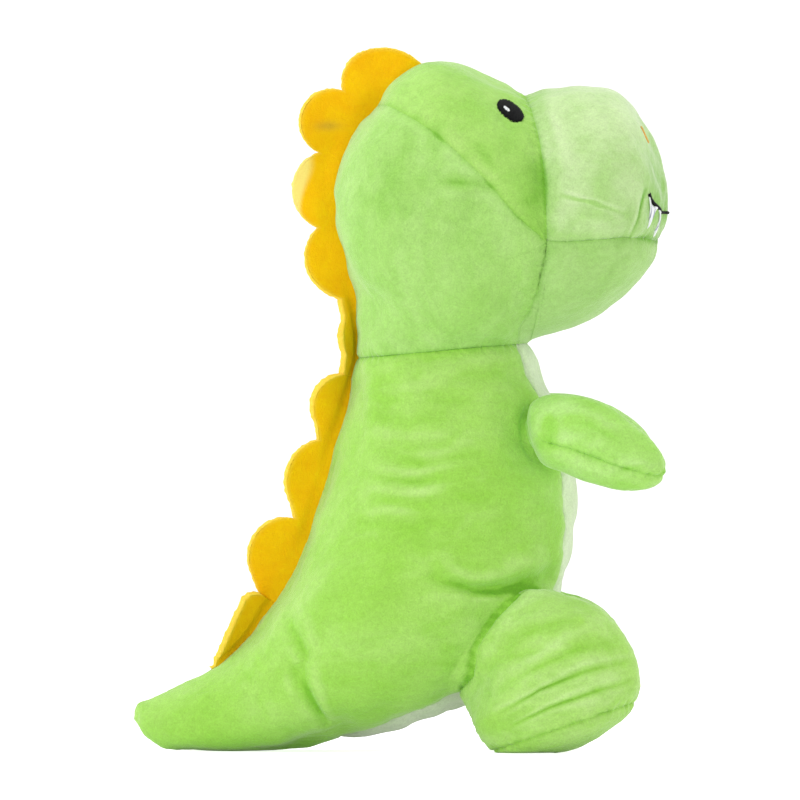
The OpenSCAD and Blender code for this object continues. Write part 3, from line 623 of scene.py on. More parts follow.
def panel(name, form_name, side, vs, u_from, u_to, columns, tip=False, hem=(True, True, True, True), cut=None,
          root=False):
    """A cover panel: a fine grid from angle u_from(v) to u_to(v), hemmed at its v start, v end, u start and u end."""
    form = FORMS[form_name]
    v = np.repeat(vs[:, None], columns, 1)
    a, b = u_from(vs)[:, None], u_to(vs)[:, None]
    u = a + (b - a) * np.linspace(0, 1, columns)[None, :]
    p, n = point(form, u, v), outward(form, u, v)
    p[..., 1] *= side
    n[..., 1] *= side
    moved = settle(p, form_name)
    if (moved != p).any():
        slant = np.cross(np.gradient(moved, axis=0), np.gradient(moved, axis=1)) * side
        far = smooth(np.linalg.norm(moved - p, axis=-1) / 1.5)[..., None]
        n = unit(n * (1 - far) + unit(slant) * far)
        p = moved
    q, tone = relief(form_name, p, n)
    if tip:
        middle = ring_middle(form, len(form) - 1, side) + 0.35 * n[-1].mean(0)
        middle[2] = max(middle[2], 0.0)
        q, n, tone = closed(q, n, tone, middle, True)
    if root:
        q, n, tone = closed(q, n, tone, ring_middle(form, vs[0], side), False)
    for wanted, axis, last in zip(hem, (0, 0, 1, 1), (False, True, False, True)):
        if wanted and not (tip and axis == 0 and last):
            q, n, tone = hemmed(q, n, tone, axis, last)
    q[..., 2] = np.maximum(q[..., 2], 0)
    rows, cols = q.shape[:2]
    faces = grid_faces(rows, cols, flip=side == LEFT)
    verts, tone = q.reshape(-1, 3), tone.reshape(-1)
    if cut is not None:
        gone = cut(verts)
        faces = [f for f in faces if not all(gone[i] for i in f)]
        used = np.zeros(len(verts), bool)
        used[np.array(faces).reshape(-1)] = True
        new = np.cumsum(used) - 1
        faces = new[np.array(faces)].tolist()
        verts, tone = verts[used], tone[used]
    return to_object(name, verts, faces, [("nap_and_painted_light", np.clip(0.5 + 0.5 * tone, 0, 1))])


def deep_in_leg(verts):
    q = verts.copy()
    q[:, 1] = np.abs(q[:, 1])
    near = (q[:, 0] > 20) & (q[:, 2] < 80) & (q[:, 1] > 15)
    gone = np.zeros(len(q), bool)
    gone[near] = leg_depth(q[near]) > 3.5
    return gone


def rows_between(*stops):
    """Rows from stops of (v, number of rows up to it), the first of them (v, 0)."""
    parts = [np.linspace(a[0], b[0], b[1]) for a, b in zip(stops[:-1], stops[1:])]
    return np.concatenate([part[:-1] for part in parts[:-1]] + parts[-1:])


def always(angle):
    return lambda v: np.full_like(v, float(angle))


def edge_of_width(width):
    """The two edges of a panel of the body's underside whose half width is width(v)."""
    return lambda v: angle_of_width(v, width(v)), lambda v: 360 - angle_of_width(v, width(v))


fine_ends = np.sin(np.linspace(0, 1, 130) * math.pi / 2) ** 2
cheek_vs = np.concatenate([rows_between((0, 0), (6.6, 110))[:-1], 6.6 + 5.4 * fine_ends])
crown_vs = 6.6 + 5.4 * np.maximum(fine_ends, 0.0006)
muzzle_vs = rows_between((12, 0), (17, 76), (19, 44))
jaw_vs = np.concatenate([cheek_vs[:-1], 12 + 5.46 * (1 - np.linspace(1, 0, 84) ** 1.6)])
arm_vs = rows_between((0, 0), (1.6, 26), (6, 76), (8, 34))
leg_vs = rows_between((0.2, 0), (3, 40), (SOLE, 110))

for where, side in SIDES.items():
    panel("plush_cheek_" + where, "head", side, cheek_vs, crown_seam, jaw_seam, 180)
    panel("plush_crown_" + where, "head", side, crown_vs, always(0), crown_seam, 120, hem=(False, True, True, True))
    panel("plush_muzzle_" + where, "head", side, muzzle_vs, always(0),
          lambda v: np.where(v < 17.5, jaw_seam(np.minimum(v, 17.5)), 180.0), 130, tip=True,
          hem=(True, False, False, True))
    panel("plush_body_side_" + where, "trunk", side, rows_between((11, 0), (21, 230)), always(0), lower_seam, 240,
          hem=(False, True, True, True), cut=deep_in_leg)
    panel("plush_tail_side_" + where, "trunk", side, rows_between((0, 0), (3, 34), (11, 126)), always(0), lower_seam,
          150, hem=(False, False, False, True), root=True)
    for part, u_from, u_to, columns in (("upper_", -ARM_SEAM, ARM_SEAM, 110), ("lower_", ARM_SEAM, 360 - ARM_SEAM, 74)):
        panel("plush_arm_" + part + where, "arm", side, arm_vs, always(u_from), always(u_to), columns, tip=True,
              hem=(False, False, True, True), root=True)
    panel("plush_leg_outer_" + where, "leg", side, leg_vs, always(0), always(180), 150)
    panel("plush_leg_inner_" + where, "leg", side, leg_vs, always(180), always(360), 150)
    panel("plush_sole_" + where, "leg", side, rows_between((SOLE, 0), (SOLE + 4, 74)), always(0), always(360), 260,
          tip=True, hem=(True, False, False, False))

panel("plush_jaw", "head", LEFT, jaw_vs, jaw_seam, lambda v: 360 - jaw_seam(v), 220)
panel("plush_belly", "trunk", LEFT, rows_between((13.4, 0), (21, 210)), *edge_of_width(lambda v: 19.5), 70)
panel("plush_base", "trunk", LEFT, rows_between((9.62, 0), (13.4, 90)), *edge_of_width(base_half), 70)


# ---------------------------------------------------------------- felt spines
# each scallop: its middle and its radius
SPINES = [(-9.6, 267.6, 13.4), (-26.8, 251.6, 13.4), (-26.6, 224.4, 16.2), (-22, 197.2, 16), (-13.2, 165.6, 11.8),
          (-21.6, 138.4, 14.4), (-28.2, 108, 18), (-45, 78, 16), (-60.8, 48.4, 12.4)]
NOTCHES = [(9.8, 274), (-22.8, 264.3), (-32.5, 239.5), (-32.8, 209.3), (-24.8, 180.6), (-24.4, 151.2),
           (-33.2, 124.6), (-42.4, 93.2), (-56.5, 63.8), (-75.6, 33.4)]
# how much of each scallop's edge, at its upper and its lower end, runs in to the notch
END_FADES = [(0.5, 0.2), (0.2, 0.2), (0.2, 0.2), (0.2, 0.25), (0.25, 0.25), (0.45, 0.2), (0.3, 0.2), (0.25, 0.2)]
# how far each scallop leans to the right, in degrees, at its upper notch, its middle and its lower notch
LEANS = [(0, -6, 2), (2, 8, 4), (4, -5, 0), (0, 8, 22), (30, 54, 50), (50, 34, 14), (14, 18, 12), (12, 12, 6),
         (34, 46, 46)]
# the lowest spine is folded over, so its edge runs straight
FOLDED = np.array([(-56.5, 63.8), (-58.6, 64.2), (-61, 63.8), (-63, 61.8), (-66.4, 55), (-69.8, 47.4), (-73, 40),
                   (-75.6, 33.4)])
FELT = 3.2
RIM = 0.75       # how far the felt's cut edge is rounded
ROOT = 4.0       # how deep the felt is sewn in


def along_line(t, at, points):
    return np.stack([np.interp(t, at, points[:, 0]), np.interp(t, at, points[:, 1])], -1)


def back_points():
    """The centre seam of the back, from the tail to the crown: points, outward normals and lengths along it."""
    v1, v2 = np.linspace(4.6, 21, 260), np.linspace(0, 8.1, 200)
    p = np.vstack([point(TRUNK, 0 * v1, v1), point(HEAD, 0 * v2, v2)[1:]])[:, [0, 2]]
    b = np.vstack([station(TRUNK, v1)[:, 2:4], station(HEAD, v2)[1:, 2:4]])
    step = np.gradient(p, axis=0)
    n = np.stack([-step[:, 1], step[:, 0]], -1)
    n /= np.linalg.norm(n, axis=1, keepdims=True)
    n *= np.sign(((p - b) * n).sum(1, keepdims=True))
    return p, n, lengths_along(p)


back_p, back_n, back_s = back_points()
notch_s = [back_s[np.argmin(np.hypot(*(back_p - np.array(k)).T))] for k in NOTCHES]


def scallop(i, t):
    """Points of a scallop's edge at t, from 0 at its upper notch to 1 at its lower one."""
    if i == len(SPINES) - 1:
        s = lengths_along(FOLDED)
        return along_line(t, s / s[-1], FOLDED)
    c, r0 = np.array(SPINES[i][:2]), SPINES[i][2]
    a, b = np.array(NOTCHES[i]) - c, np.array(NOTCHES[i + 1]) - c
    start = math.atan2(a[1], a[0])
    turn = (math.atan2(b[1], b[0]) - start) % (2 * math.pi)
    fa, fb = END_FADES[i]
    r = (r0 + (np.hypot(*a) - r0) * np.maximum(1 - t / fa, 0) ** 2
         + (np.hypot(*b) - r0) * np.maximum(1 - (1 - t) / fb, 0) ** 2)
    return c + np.stack([r * np.cos(start + t * turn), r * np.sin(start + t * turn)], -1)


wobble = waves(40, 26, 8)
fray = waves(44, 2.1, 24)


def felt_profile():
    """Rows across the strip, root to rim on the left face and back: (inwards, out, thickness, past the face)."""
    rows = [(f, 0.0, 1.0, 0.0) for f in np.linspace(-1, 0, 4)[:-1]]
    rows += [(0.0, f, 1.0, 0.0) for f in 1 - (1 - np.linspace(0, 1, 20)) ** 1.4]
    half = FELT / 2
    rows += [(0.0, 1.0, (half - RIM + RIM * math.cos(a)) / half, RIM * math.sin(a)) for a in np.radians([22, 45, 68])]
    rows += [(0.0, 1.0, (half - RIM) / half, RIM), (0.0, 1.0, 0.0, RIM + 0.12)]
    return rows + [(inner, f, -h, extra) for inner, f, h, extra in rows[::-1][1:]]


def felt_strip(name, first, last):
    """A strip of scallops, first to last, from its root in the back seam to its frayed rim."""
    s, tips, lean = [], [], []
    for i in range(first, last + 1):
        t = np.linspace(0, 1, 64)
        if i < last:
            t = t[:-1]
        # the roots keep pace with the tips' own progress along the back
        s.append(np.interp(t, [0, 1], [notch_s[i], notch_s[i + 1]]))
        tips.append(scallop(i, t))
        lean.append(np.interp(t, [0, 0.5, 1], LEANS[i]))
    s, tips, lean = np.concatenate(s), np.concatenate(tips), np.radians(np.concatenate(lean))
    for _ in range(6):
        lean[1:-1] = (lean[:-2] + 2 * lean[1:-1] + lean[2:]) / 4
    x = along_line(s, back_s, back_p)
    root = x - ROOT * along_line(s, back_s, back_n)
    out = tips - x
    seen = np.linalg.norm(out, axis=1)
    out = out / np.maximum(seen, 1e-6)[:, None]
    true = np.maximum((seen - FELT / 2 * np.abs(np.sin(lean))) / np.cos(lean), 0.5)
    verts, edge = [], []
    for inner, f, h, extra in felt_profile():
        rim = f == 1.0
        reach = (np.maximum(true - RIM, 0) if rim else np.minimum(true * f, np.maximum(true - RIM, 0))) + extra
        angle = lean * (0.35 + 0.65 * smooth(reach / 5.0))
        y = -np.sin(angle) * reach
        flat = x + out * (np.cos(angle) * reach)[:, None]
        edge.append(np.clip(1 - (true - np.minimum(reach, true)) / 2.2, 0, 1) * (1.0 if extra > 0.1 else 0.55))
        if inner < 0:
            flat, y, angle, edge[-1] = x + (root - x) * (-inner), 0 * y, 0 * angle, 0 * y
        off = h * FELT / 2
        flat = flat + out * (np.sin(angle) * off)[:, None]
        p = np.stack([flat[:, 0], y + np.cos(angle) * off, flat[:, 1]], -1)
        p[:, 1] += 0.5 * smooth(reach / 8) * wobble(p)
        push = (0.16 if extra > 0.3 else 0.08) * fray(p) if rim else 0 * y
        p[:, 0] += out[:, 0] * push
        p[:, 2] += out[:, 1] * push
        verts.append(p)
    verts = np.array(verts)
    rows, cols = verts.shape[:2]
    flat = verts.reshape(-1, 3)
    faces = grid_faces(rows, cols)
    # the two ends of the strip
    for c in (0, cols - 1):
        for i in range(rows // 2):
            a, b, d, e = i * cols + c, (i + 1) * cols + c, (rows - 2 - i) * cols + c, (rows - 1 - i) * cols + c
            f = [a, b, d, e] if b != d else [a, b, e]
            faces.append(f if c == 0 else f[::-1])
    x, z = flat[:, 0], flat[:, 2]
    # a paler patch on the outer part of the third scallop
    pale_patch = smooth((-34.0 - x + 1.4 * wobble(flat)) / 2.6) * smooth((z - 206) / 4) * smooth((242 - z) / 4)
    mark = bell(x + 28.4 - 0.3 * (z - 250), 5.0) * bell(z - 250, 1.9)
    to_object(name, flat, faces, [("edge", np.array(edge).reshape(-1)), ("pale_patch", pale_patch), ("mark", mark)])


felt_strip("felt_spine_upper", 0, 4)
felt_strip("felt_spine_back", 5, 7)
felt_strip("felt_spine_tail", 8, 8)

# ---------------------------------------------------------------- embroidery, stitch by stitch
skin_v, skin_f, start = [], [], 0
for key in [part + where for part in ("crown_", "cheek_", "muzzle_") for where in SIDES] + ["jaw"]:
    me = pieces["plush_" + key].data
    co = np.empty(len(me.vertices) * 3)
    me.vertices.foreach_get("co", co)
    skin_v.append(co.reshape(-1, 3) / MM)
    skin_f += [[start + i for i in f.vertices] for f in me.polygons]
    start += len(me.vertices)
skin = BVHTree.FromPolygons([tuple(x) for x in np.vstack(skin_v)], skin_f)


def on_side(x, z, side):
    where, normal, _, _ = skin.ray_cast(Vector((x, side * 90, z)), Vector((0, -side, 0)))
    return np.array(where), np.array(normal) * (1 if normal[1] * side > 0 else -1)


def on_front(y, z):
    where, normal, _, _ = skin.ray_cast(Vector((130, y, z)), Vector((-1, 0, 0)))
    return np.array(where), np.array(normal) * (1 if normal[0] > 0 else -1)


def smooth_normal(place, a, b, spread=1.2):
    total = 0
    for da, db in ((0, 0), (spread, 0), (-spread, 0), (0, spread), (0, -spread)):
        total = total + place(a + da, b + db)[1]
    return total / np.linalg.norm(total)


def stitch(verts, faces, path, ups, radius, lift, sides=6):
    """One thread along path, thin at its ends, where it dives into the cloth."""
    path = np.array(path)
    n = len(path)
    base = len(verts)
    for i in range(n):
        ahead = path[min(i + 1, n - 1)] - path[max(i - 1, 0)]
        ahead /= max(np.linalg.norm(ahead), 1e-9)
        up = ups[i] - ahead * (ups[i] @ ahead)
        up /= np.linalg.norm(up)
        across = np.cross(ahead, up)
        arch = math.sin(math.pi * i / (n - 1)) ** 0.45 if 0 < i < n - 1 else 0.0
        r = radius * (0.45 + 0.55 * arch)
        middle = path[i] + up * (lift * arch - 0.35 * (1 - arch))
        for k in range(sides):
            a = 2 * math.pi * k / sides
            verts.append(middle + r * (math.cos(a) * across + 0.85 * math.sin(a) * up))
    for i in range(base, base + (n - 1) * sides, sides):
        for k in range(sides):
            l = (k + 1) % sides
            faces.append([i + k, i + l, i + sides + l, i + sides + k])
    faces.append([base + k for k in range(sides)][::-1])
    faces.append([base + (n - 1) * sides + k for k in range(sides)])


def run_thread(verts, faces, place, a, b, samples, radius, lift):
    """A thread laid on the cloth from a to b, which place() finds on the head."""
    spots = [a + (b - a) * f for f in np.linspace(0, 1, samples)]
    stitch(verts, faces, [place(*g)[0] for g in spots], [smooth_normal(place, *g) for g in spots], radius, lift)


def satin(name, place, outline, rows, radius, lift, jitter, seed, samples):
    """Satin stitch: threads side by side, each from outline(s, -1) to outline(s, 1)."""
    r = np.random.default_rng(seed)
    verts, faces = [], []
    for k in range(rows):
        s = (k + 0.5 + r.uniform(-0.15, 0.15)) / rows
        a, b = np.array(outline(s, -1)), np.array(outline(s, 1))
        d = (b - a) / max(np.linalg.norm(b - a), 1e-6)
        a = a - d * r.uniform(-0.3, 1.0) * jitter
        b = b + d * r.uniform(-0.3, 1.0) * jitter
        thick, high = radius * r.uniform(0.9, 1.1), lift * r.uniform(0.85, 1.15)
        run_thread(verts, faces, place, a, b, samples, thick, high)
    to_object(name, verts, faces)


EYE = (44.4, 255.7)
EYE_TILT = math.radians(-38)


def oval(half_x, half_z, middle):
    ca, sa = math.cos(EYE_TILT), math.sin(EYE_TILT)

    def outline(s, end):
        a = 2 * s - 1
        x, y = half_x * a, half_z * math.sqrt(max(1 - a * a, 0.0)) * end
        return middle[0] + x * ca - y * sa, middle[1] + x * sa + y * ca
    return outline


def nostril(side):
    """A short slanted bar on the front of the muzzle."""
    def outline(s, end):
        y = 22 * side + side * (2.4 - 3.8 * s) + end * (0.5 + 1.1 * math.sin(math.pi * s))
        return y, 249.4 - 6.2 * s + end * 0.45
    return outline


for where, side in SIDES.items():
    place = lambda x, z, side=side: on_side(x, z, side)
    satin("thread_eye_" + where, place, oval(6.1, 3.7, EYE), 38, 0.22, 0.5, 0.5, 5 + side, 9)
    satin("thread_eye_under_" + where, place, oval(5.6, 3.2, EYE), 34, 0.3, 0.2, 0.1, 9 + side, 9)
    satin("thread_glint_" + where, place, oval(1.5, 0.8, (EYE[0] - 1.7, EYE[1] + 0.4)), 9, 0.2, 0.9, 0.12, 15 + side, 5)
    satin("thread_nostril_" + where, on_front, nostril(side), 17, 0.26, 0.35, 0.15, 25 + side, 5)


MOUTH_HALF = 33.2
MOUTH_LOW, MOUTH_RISE = 215.3, 7.5


def mouth_z(y):
    return MOUTH_LOW + MOUTH_RISE * (abs(y) / MOUTH_HALF) ** 5


def mouth_outline(s, end):
    y = MOUTH_HALF * (2 * s - 1)
    slope = 5 * MOUTH_RISE * abs(y) ** 3 * y / MOUTH_HALF ** 5
    l = math.hypot(1, slope)
    return y - end * 0.62 * slope / l + 0.5 * end, mouth_z(y) + end * 0.62 / l


satin("thread_mouth", on_front, mouth_outline, 250, 0.27, 0.4, 0.12, 33, 5)


def teeth_threads(name, shade):
    """Two teeth on each side: threads run down from the mouth and gather towards each tooth's tip."""
    r = np.random.default_rng(61)
    verts, faces = [], []
    rows, shaded = 23, (5, 16)
    for side in (LEFT, RIGHT):
        for y, half in ((20.4, 4.6), (29.4, 3.8)):
            for k in range(rows):
                a = (k + 0.5) / rows * 2 - 1
                low = mouth_z(y) - 0.9 - 9.6 * (1 - abs(a) ** 1.5) - r.uniform(0, 1.1)
                if (k in shaded) != shade:
                    continue
                start = np.array([(y + half * a) * side, mouth_z(y + half * a) - 0.5])
                end = np.array([(y + half * a * 0.35) * side, low])
                run_thread(verts, faces, on_front, start, end, 8, 0.4, 0.54 if shade else 0.42)
    to_object(name, verts, faces)


teeth_threads("thread_teeth", False)
teeth_threads("thread_teeth_shade", True)


# ---------------------------------------------------------------- materials
def linear(r, g, b):
    """A colour as a screen shows it, 0 to 255, in the renderer's linear values."""
    parts = (r / 255, g / 255, b / 255)
    return tuple(c / 12.92 if c <= 0.04045 else ((c + 0.055) / 1.055) ** 2.4 for c in parts) + (1.0,)


def gray(v):
    return (v, v, v, 1)


NODE_START, NODE_STEP = -200, 60


class Nodes:
    """A material's nodes, made one after another."""

    def __init__(self, name):
        self.mat = bpy.data.materials.new(name)
        self.mat.use_nodes = True
        self.tree = self.mat.node_tree
        self.shader = self.tree.nodes["Principled BSDF"]
        self.x = NODE_START

    def add(self, kind, **props):
        node = self.tree.nodes.new(kind)
        self.x -= NODE_STEP
        node.location = (self.x, 0)
        for k, v in props.items():
            setattr(node, k, v)
        return node

    def link(self, a, b):
        self.tree.links.new(a, b)

    def coords(self, scale=(1, 1, 1), turn=(0, 0, 0)):
        tc = self.add("ShaderNodeTexCoord")
        m = self.add("ShaderNodeMapping")
        m.inputs["Scale"].default_value = scale
        m.inputs["Rotation"].default_value = turn
        self.link(tc.outputs["Object"], m.inputs["Vector"])
        return m.outputs[0]

    def noise(self, vector, scale, detail=3, rough=0.55, distort=0.0):
        n = self.add("ShaderNodeTexNoise")
        n.inputs["Scale"].default_value = scale
        n.inputs["Detail"].default_value = detail
        n.inputs["Roughness"].default_value = rough
        n.inputs["Distortion"].default_value = distort
        self.link(vector, n.inputs["Vector"])
        return n.outputs[0]

    def ramp(self, value, stops):
        r = self.add("ShaderNodeValToRGB")
        el = r.color_ramp.elements
        while len(el) < len(stops):
            el.new(0.5)
        for e, (pos, v) in zip(el, stops):
            e.position, e.color = pos, gray(v)
        self.link(value, r.inputs[0])
        return r.outputs[0]

    def fill(self, node, *inputs):
        """Links or sets each (socket number, value)."""
        for number, value in inputs:
            if isinstance(value, bpy.types.NodeSocket):
                self.link(value, node.inputs[number])
            else:
                node.inputs[number].default_value = value

    def mix(self, factor, a, b, blend="MIX"):
        m = self.add("ShaderNodeMix", data_type="RGBA", blend_type=blend)
        self.fill(m, (0, factor), (6, a), (7, b))
        return m.outputs[2]

    def math(self, op, a, b):
        m = self.add("ShaderNodeMath", operation=op)
        self.fill(m, (0, a), (1, b))
        return m.outputs[0]

    def attribute(self, name):
        return self.add("ShaderNodeAttribute", attribute_name=name).outputs["Fac"]

    def finish(self, **settings):
        for key, value in settings.items():
            self.shader.inputs[key.replace("_", " ")].default_value = value
        return self.mat

    def bump(self, height, strength, distance, under=None):
        b = self.add("ShaderNodeBump")
        b.inputs["Strength"].default_value = strength
        b.inputs["Distance"].default_value = distance
        self.link(height, b.inputs["Height"])
        if under is not None:
            self.link(under, b.inputs["Normal"])
        return b.outputs[0]


# painted shade: the darkest green, laid in the deepest creases and folds
GREEN_CREASE_SHADE = (112, 178, 46)
PALE_TINT = (1.0, 1.0, 0.97)


def plush(name, base, light, shade, patch, deep=GREEN_CREASE_SHADE, sheen=(0.86, 1.0, 0.70), weight=0.8, drawn=(1, 1, 0.42),
          turn=(0, 0, 0)):
    """Short-pile plush: patches where the pile lies another way, a soft fine pile texture, painted shade in folds,
    seams and creases with painted highlights beside them, and a pale bloom at its edges.
    """
    base, light, shade, deep = (linear(*c) for c in (base, light, shade, deep))
    k = Nodes(name)
    plain = k.coords(turn=turn)
    along = k.coords(scale=drawn, turn=turn)
    big = k.noise(along, 34, 2.5, 0.5, 0.6)
    small = k.noise(along, 150, 3, 0.6, 0.4)
    tuft = k.noise(plain, 430, 2.5, 0.6, 0.5)
    nap_and_painted_light = k.noise(plain, 1500, 2.5, 0.7)
    fibre = k.noise(k.coords(scale=(1.0, 1.0, 0.35), turn=turn), 3600, 2, 0.6)
    colour = k.mix(k.math("MULTIPLY", k.ramp(big, [(0.34, 0), (0.66, 1)]), patch), base, light)
    dips = k.ramp(small, [(0.30, 1), (0.58, 0)])
    colour = k.mix(k.math("MULTIPLY", dips, 0.35), colour, shade)
    # painted light from the panel's attribute: painted shade in the dips of folds and seams, darkest in the deepest
    # creases, and painted highlights on the ridges and lit tops
    uneven = k.math("MULTIPLY", k.math("SUBTRACT", small, 0.5), 0.25)
    broken = k.math("ADD", k.attribute("nap_and_painted_light"), uneven)
    colour = k.mix(k.ramp(broken, [(0.12, 0.85), (0.47, 0)]), colour, shade)
    colour = k.mix(k.ramp(broken, [(0.53, 0), (0.86, 0.8)]), colour, light)
    colour = k.mix(k.ramp(broken, [(0.0, 0.75), (0.24, 0)]), colour, deep)
    colour = k.mix(1.0, colour, k.ramp(tuft, [(0.32, 0.94), (0.68, 1.04)]), "MULTIPLY")
    colour = k.mix(1.0, colour, k.ramp(nap_and_painted_light, [(0.30, 0.88), (0.70, 1.07)]), "MULTIPLY")
    k.link(colour, k.shader.inputs["Base Color"])
    rough = k.add("ShaderNodeMapRange")
    rough.inputs["To Min"].default_value, rough.inputs["To Max"].default_value = 0.78, 0.96
    k.link(small, rough.inputs["Value"])
    k.link(rough.outputs[0], k.shader.inputs["Roughness"])
    raised = k.bump(nap_and_painted_light, 0.55, 0.00045, k.bump(tuft, 0.35, 0.0007, k.bump(small, 0.25, 0.0012)))
    k.link(k.bump(fibre, 0.35, 0.0002, raised), k.shader.inputs["Normal"])
    return k.finish(Sheen_Weight=weight, Sheen_Roughness=0.34, Sheen_Tint=sheen + (1.0,), Specular_IOR_Level=0.12)


def felt(name):
    """Thick felt: matted fibres, a cut edge that is paler and fuzzier than the faces, a paler patch on the third
    scallop's outer part and a faint mark.
    """
    k = Nodes(name)
    plain = k.coords()
    mottled = k.noise(plain, 90, 4, 0.6, 0.5)
    fibres = k.noise(plain, 900, 4, 0.7, 1.2)
    specks = k.noise(plain, 2400, 2, 0.6)
    colour = k.mix(k.ramp(mottled, [(0.3, 0), (0.7, 1)]), linear(250, 186, 0), linear(255, 206, 4))
    dark = k.math("MULTIPLY", k.ramp(fibres, [(0.35, 1), (0.62, 0)]), 0.24)
    colour = k.mix(dark, colour, linear(240, 156, 0))
    light = k.math("MULTIPLY", k.ramp(specks, [(0.62, 0), (0.78, 1)]), 0.22)
    colour = k.mix(light, colour, linear(255, 222, 92))
    cut = k.math("MULTIPLY", k.attribute("edge"), k.ramp(fibres, [(0.25, 0.55), (0.6, 1)]))
    colour = k.mix(cut, colour, linear(255, 219, 84))
    colour = k.mix(k.attribute("pale_patch"), colour, linear(255, 228, 124))
    colour = k.mix(k.math("MULTIPLY", k.attribute("mark"), 0.45), colour, linear(176, 132, 60))
    k.link(colour, k.shader.inputs["Base Color"])
    raised = k.bump(specks, 0.4, 0.00025, k.bump(fibres, 0.6, 0.0006, k.bump(mottled, 0.2, 0.0008)))
    k.link(raised, k.shader.inputs["Normal"])
    return k.finish(Roughness=0.93, Sheen_Weight=0.2, Sheen_Roughness=0.5, Sheen_Tint=(1.0, 0.75, 0.05, 1.0),
                    Specular_IOR_Level=0.15)


def thread(name, colour, second, rough=0.5, spec=0.4):
    """Twisted embroidery thread with a slight lustre."""
    k = Nodes(name)
    plain = k.coords()
    fine = k.noise(plain, 2600, 2, 0.6)
    mottled = k.noise(plain, 500, 2, 0.6)
    tone = k.mix(k.ramp(mottled, [(0.3, 0), (0.7, 1)]), linear(*colour), linear(*second))
    k.link(tone, k.shader.inputs["Base Color"])
    k.link(k.bump(fine, 0.5, 0.00012), k.shader.inputs["Normal"])
    return k.finish(Roughness=rough, Specular_IOR_Level=spec, Sheen_Weight=0.03)


SIDEWAYS = (0.7, 1, 1)
# The green panels are all one plush. Their copies differ partly by how each panel's pile lies and partly as painted
# light and shade, each panel made lighter or darker by how brightly it is lit; the muzzle's pale light colour also
# serves as the painted highlight on its top.
green_body = plush("plush_body", (159, 214, 88), (192, 230, 138), (144, 206, 66), 0.36, drawn=(0.5, 1, 1))
green_leg = plush("plush_leg", (164, 216, 92), (202, 235, 156), (146, 206, 68), 0.5, drawn=(0.45, 1, 1),
                  turn=(0, 0.45, 0))
green_arm = plush("plush_arm", (164, 221, 96), (202, 238, 160), (146, 210, 76), 0.5, drawn=(0.5, 1, 1),
                  turn=(0, -0.6, 0))
green_cheek = plush("plush_cheek", (160, 211, 104), (188, 228, 142), (142, 201, 82), 0.5, drawn=(1, 1, 0.7))
green_crown = plush("plush_crown", (154, 209, 90), (188, 228, 130), (140, 198, 78), 0.5, drawn=SIDEWAYS)
green_muzzle = plush("plush_muzzle", (168, 211, 122), (214, 236, 182), (156, 204, 108), 0.6, sheen=(0.94, 1.0, 0.86),
                     weight=0.9, drawn=SIDEWAYS)
green_jaw = plush("plush_jaw", (159, 206, 112), (186, 222, 144), (146, 197, 94), 0.5, drawn=SIDEWAYS)
# the fifth colour of the belly and of the base is their painted shade in creases and folds
cream = plush("plush_belly", (216, 235, 191), (236, 245, 222), (214, 228, 194), 0.4, (190, 206, 168), PALE_TINT)
base_pale = plush("plush_base", (226, 235, 214), (238, 244, 228), (208, 220, 194), 0.4, (186, 200, 168), PALE_TINT)
yellow = felt("felt_yellow")
black = thread("thread_black", (5, 5, 6), (16, 17, 18), 0.6, 0.12)
white = thread("thread_white", (248, 250, 250), (238, 241, 243))
grey = thread("thread_grey", (176, 176, 192), (160, 160, 178))
gold = thread("thread_gold", (226, 168, 44), (238, 190, 74))


def wear(name, material, slot, *nodes):
    ob = pieces[name]
    ob.data.materials.append(material)
    if nodes:
        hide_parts(*nodes)
    return ob


def cross(ob):
    """Bakes the piece's placement into its mesh."""
    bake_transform(ob)


for where, side in SIDES.items():
    # what both halves of a cover stand for is hidden by the left one
    inside = side == LEFT
    hidden = ["head_filling", "neck_band", "neck_filling"] if inside else []
    cross(wear("plush_cheek_" + where, green_cheek, "green_plush", "cheek_" + where, *hidden))
    for part, material in (("crown_", green_crown), ("muzzle_", green_muzzle)):
        ob = wear("plush_" + part + where, material, "green_plush", part + where)
        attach(ob, "head")
    for part, material, slot, nodes in (("eye_", black, "black_thread", ["eye_" + where]),
                                        ("eye_under_", black, "black_thread", []),
                                        ("glint_", white, "white_thread", ["eye_glint_" + where]),
                                        ("nostril_", gold, "yellow_thread", ["nostril_" + where])):
        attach(wear("thread_" + part + where, material, slot, *nodes), "head")
    hidden = ["torso_filling"] if inside else []
    cross(wear("plush_body_side_" + where, green_body, "green_plush", "body_side_" + where, *hidden))
    hidden = ["tail_filling", "tail_root_band", "tail_root_filling"] if inside else []
    cross(wear("plush_tail_side_" + where, green_body, "green_plush", "tail_side_" + where, *hidden))
    for part, hidden in (("arm_upper_", ["arm_filling_" + where, "shoulder_gather_" + where]), ("arm_lower_", [])):
        cross(wear("plush_" + part + where, green_arm, "green_plush", part + where, *hidden))
    for part, hidden in (("leg_outer_", ["leg_filling_" + where, "hip_band_" + where]), ("leg_inner_", [])):
        cross(wear("plush_" + part + where, green_leg, "green_plush", part + where, *hidden))
    ob = wear("plush_sole_" + where, green_leg, "green_plush", "sole_" + where)
    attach(ob, "leg_" + where)

cross(wear("plush_jaw", green_jaw, "green_plush", "jaw_panel"))
cross(wear("plush_belly", cream, "white_plush", "belly_panel"))
cross(wear("plush_base", base_pale, "white_plush", "base_panel"))
cross(wear("felt_spine_upper", yellow, "yellow_felt", "spine_head", "spine_neck"))
cross(wear("felt_spine_back", yellow, "yellow_felt", "spine_back"))
cross(wear("felt_spine_tail", yellow, "yellow_felt", "spine_tail"))
for part, material, slot, nodes in (("mouth", black, "black_thread", ["mouth_line"]),
                                    ("teeth", white, "white_thread", ["teeth"]),
                                    ("teeth_shade", grey, "white_thread", [])):
    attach(wear("thread_" + part, material, slot, *nodes), "head")

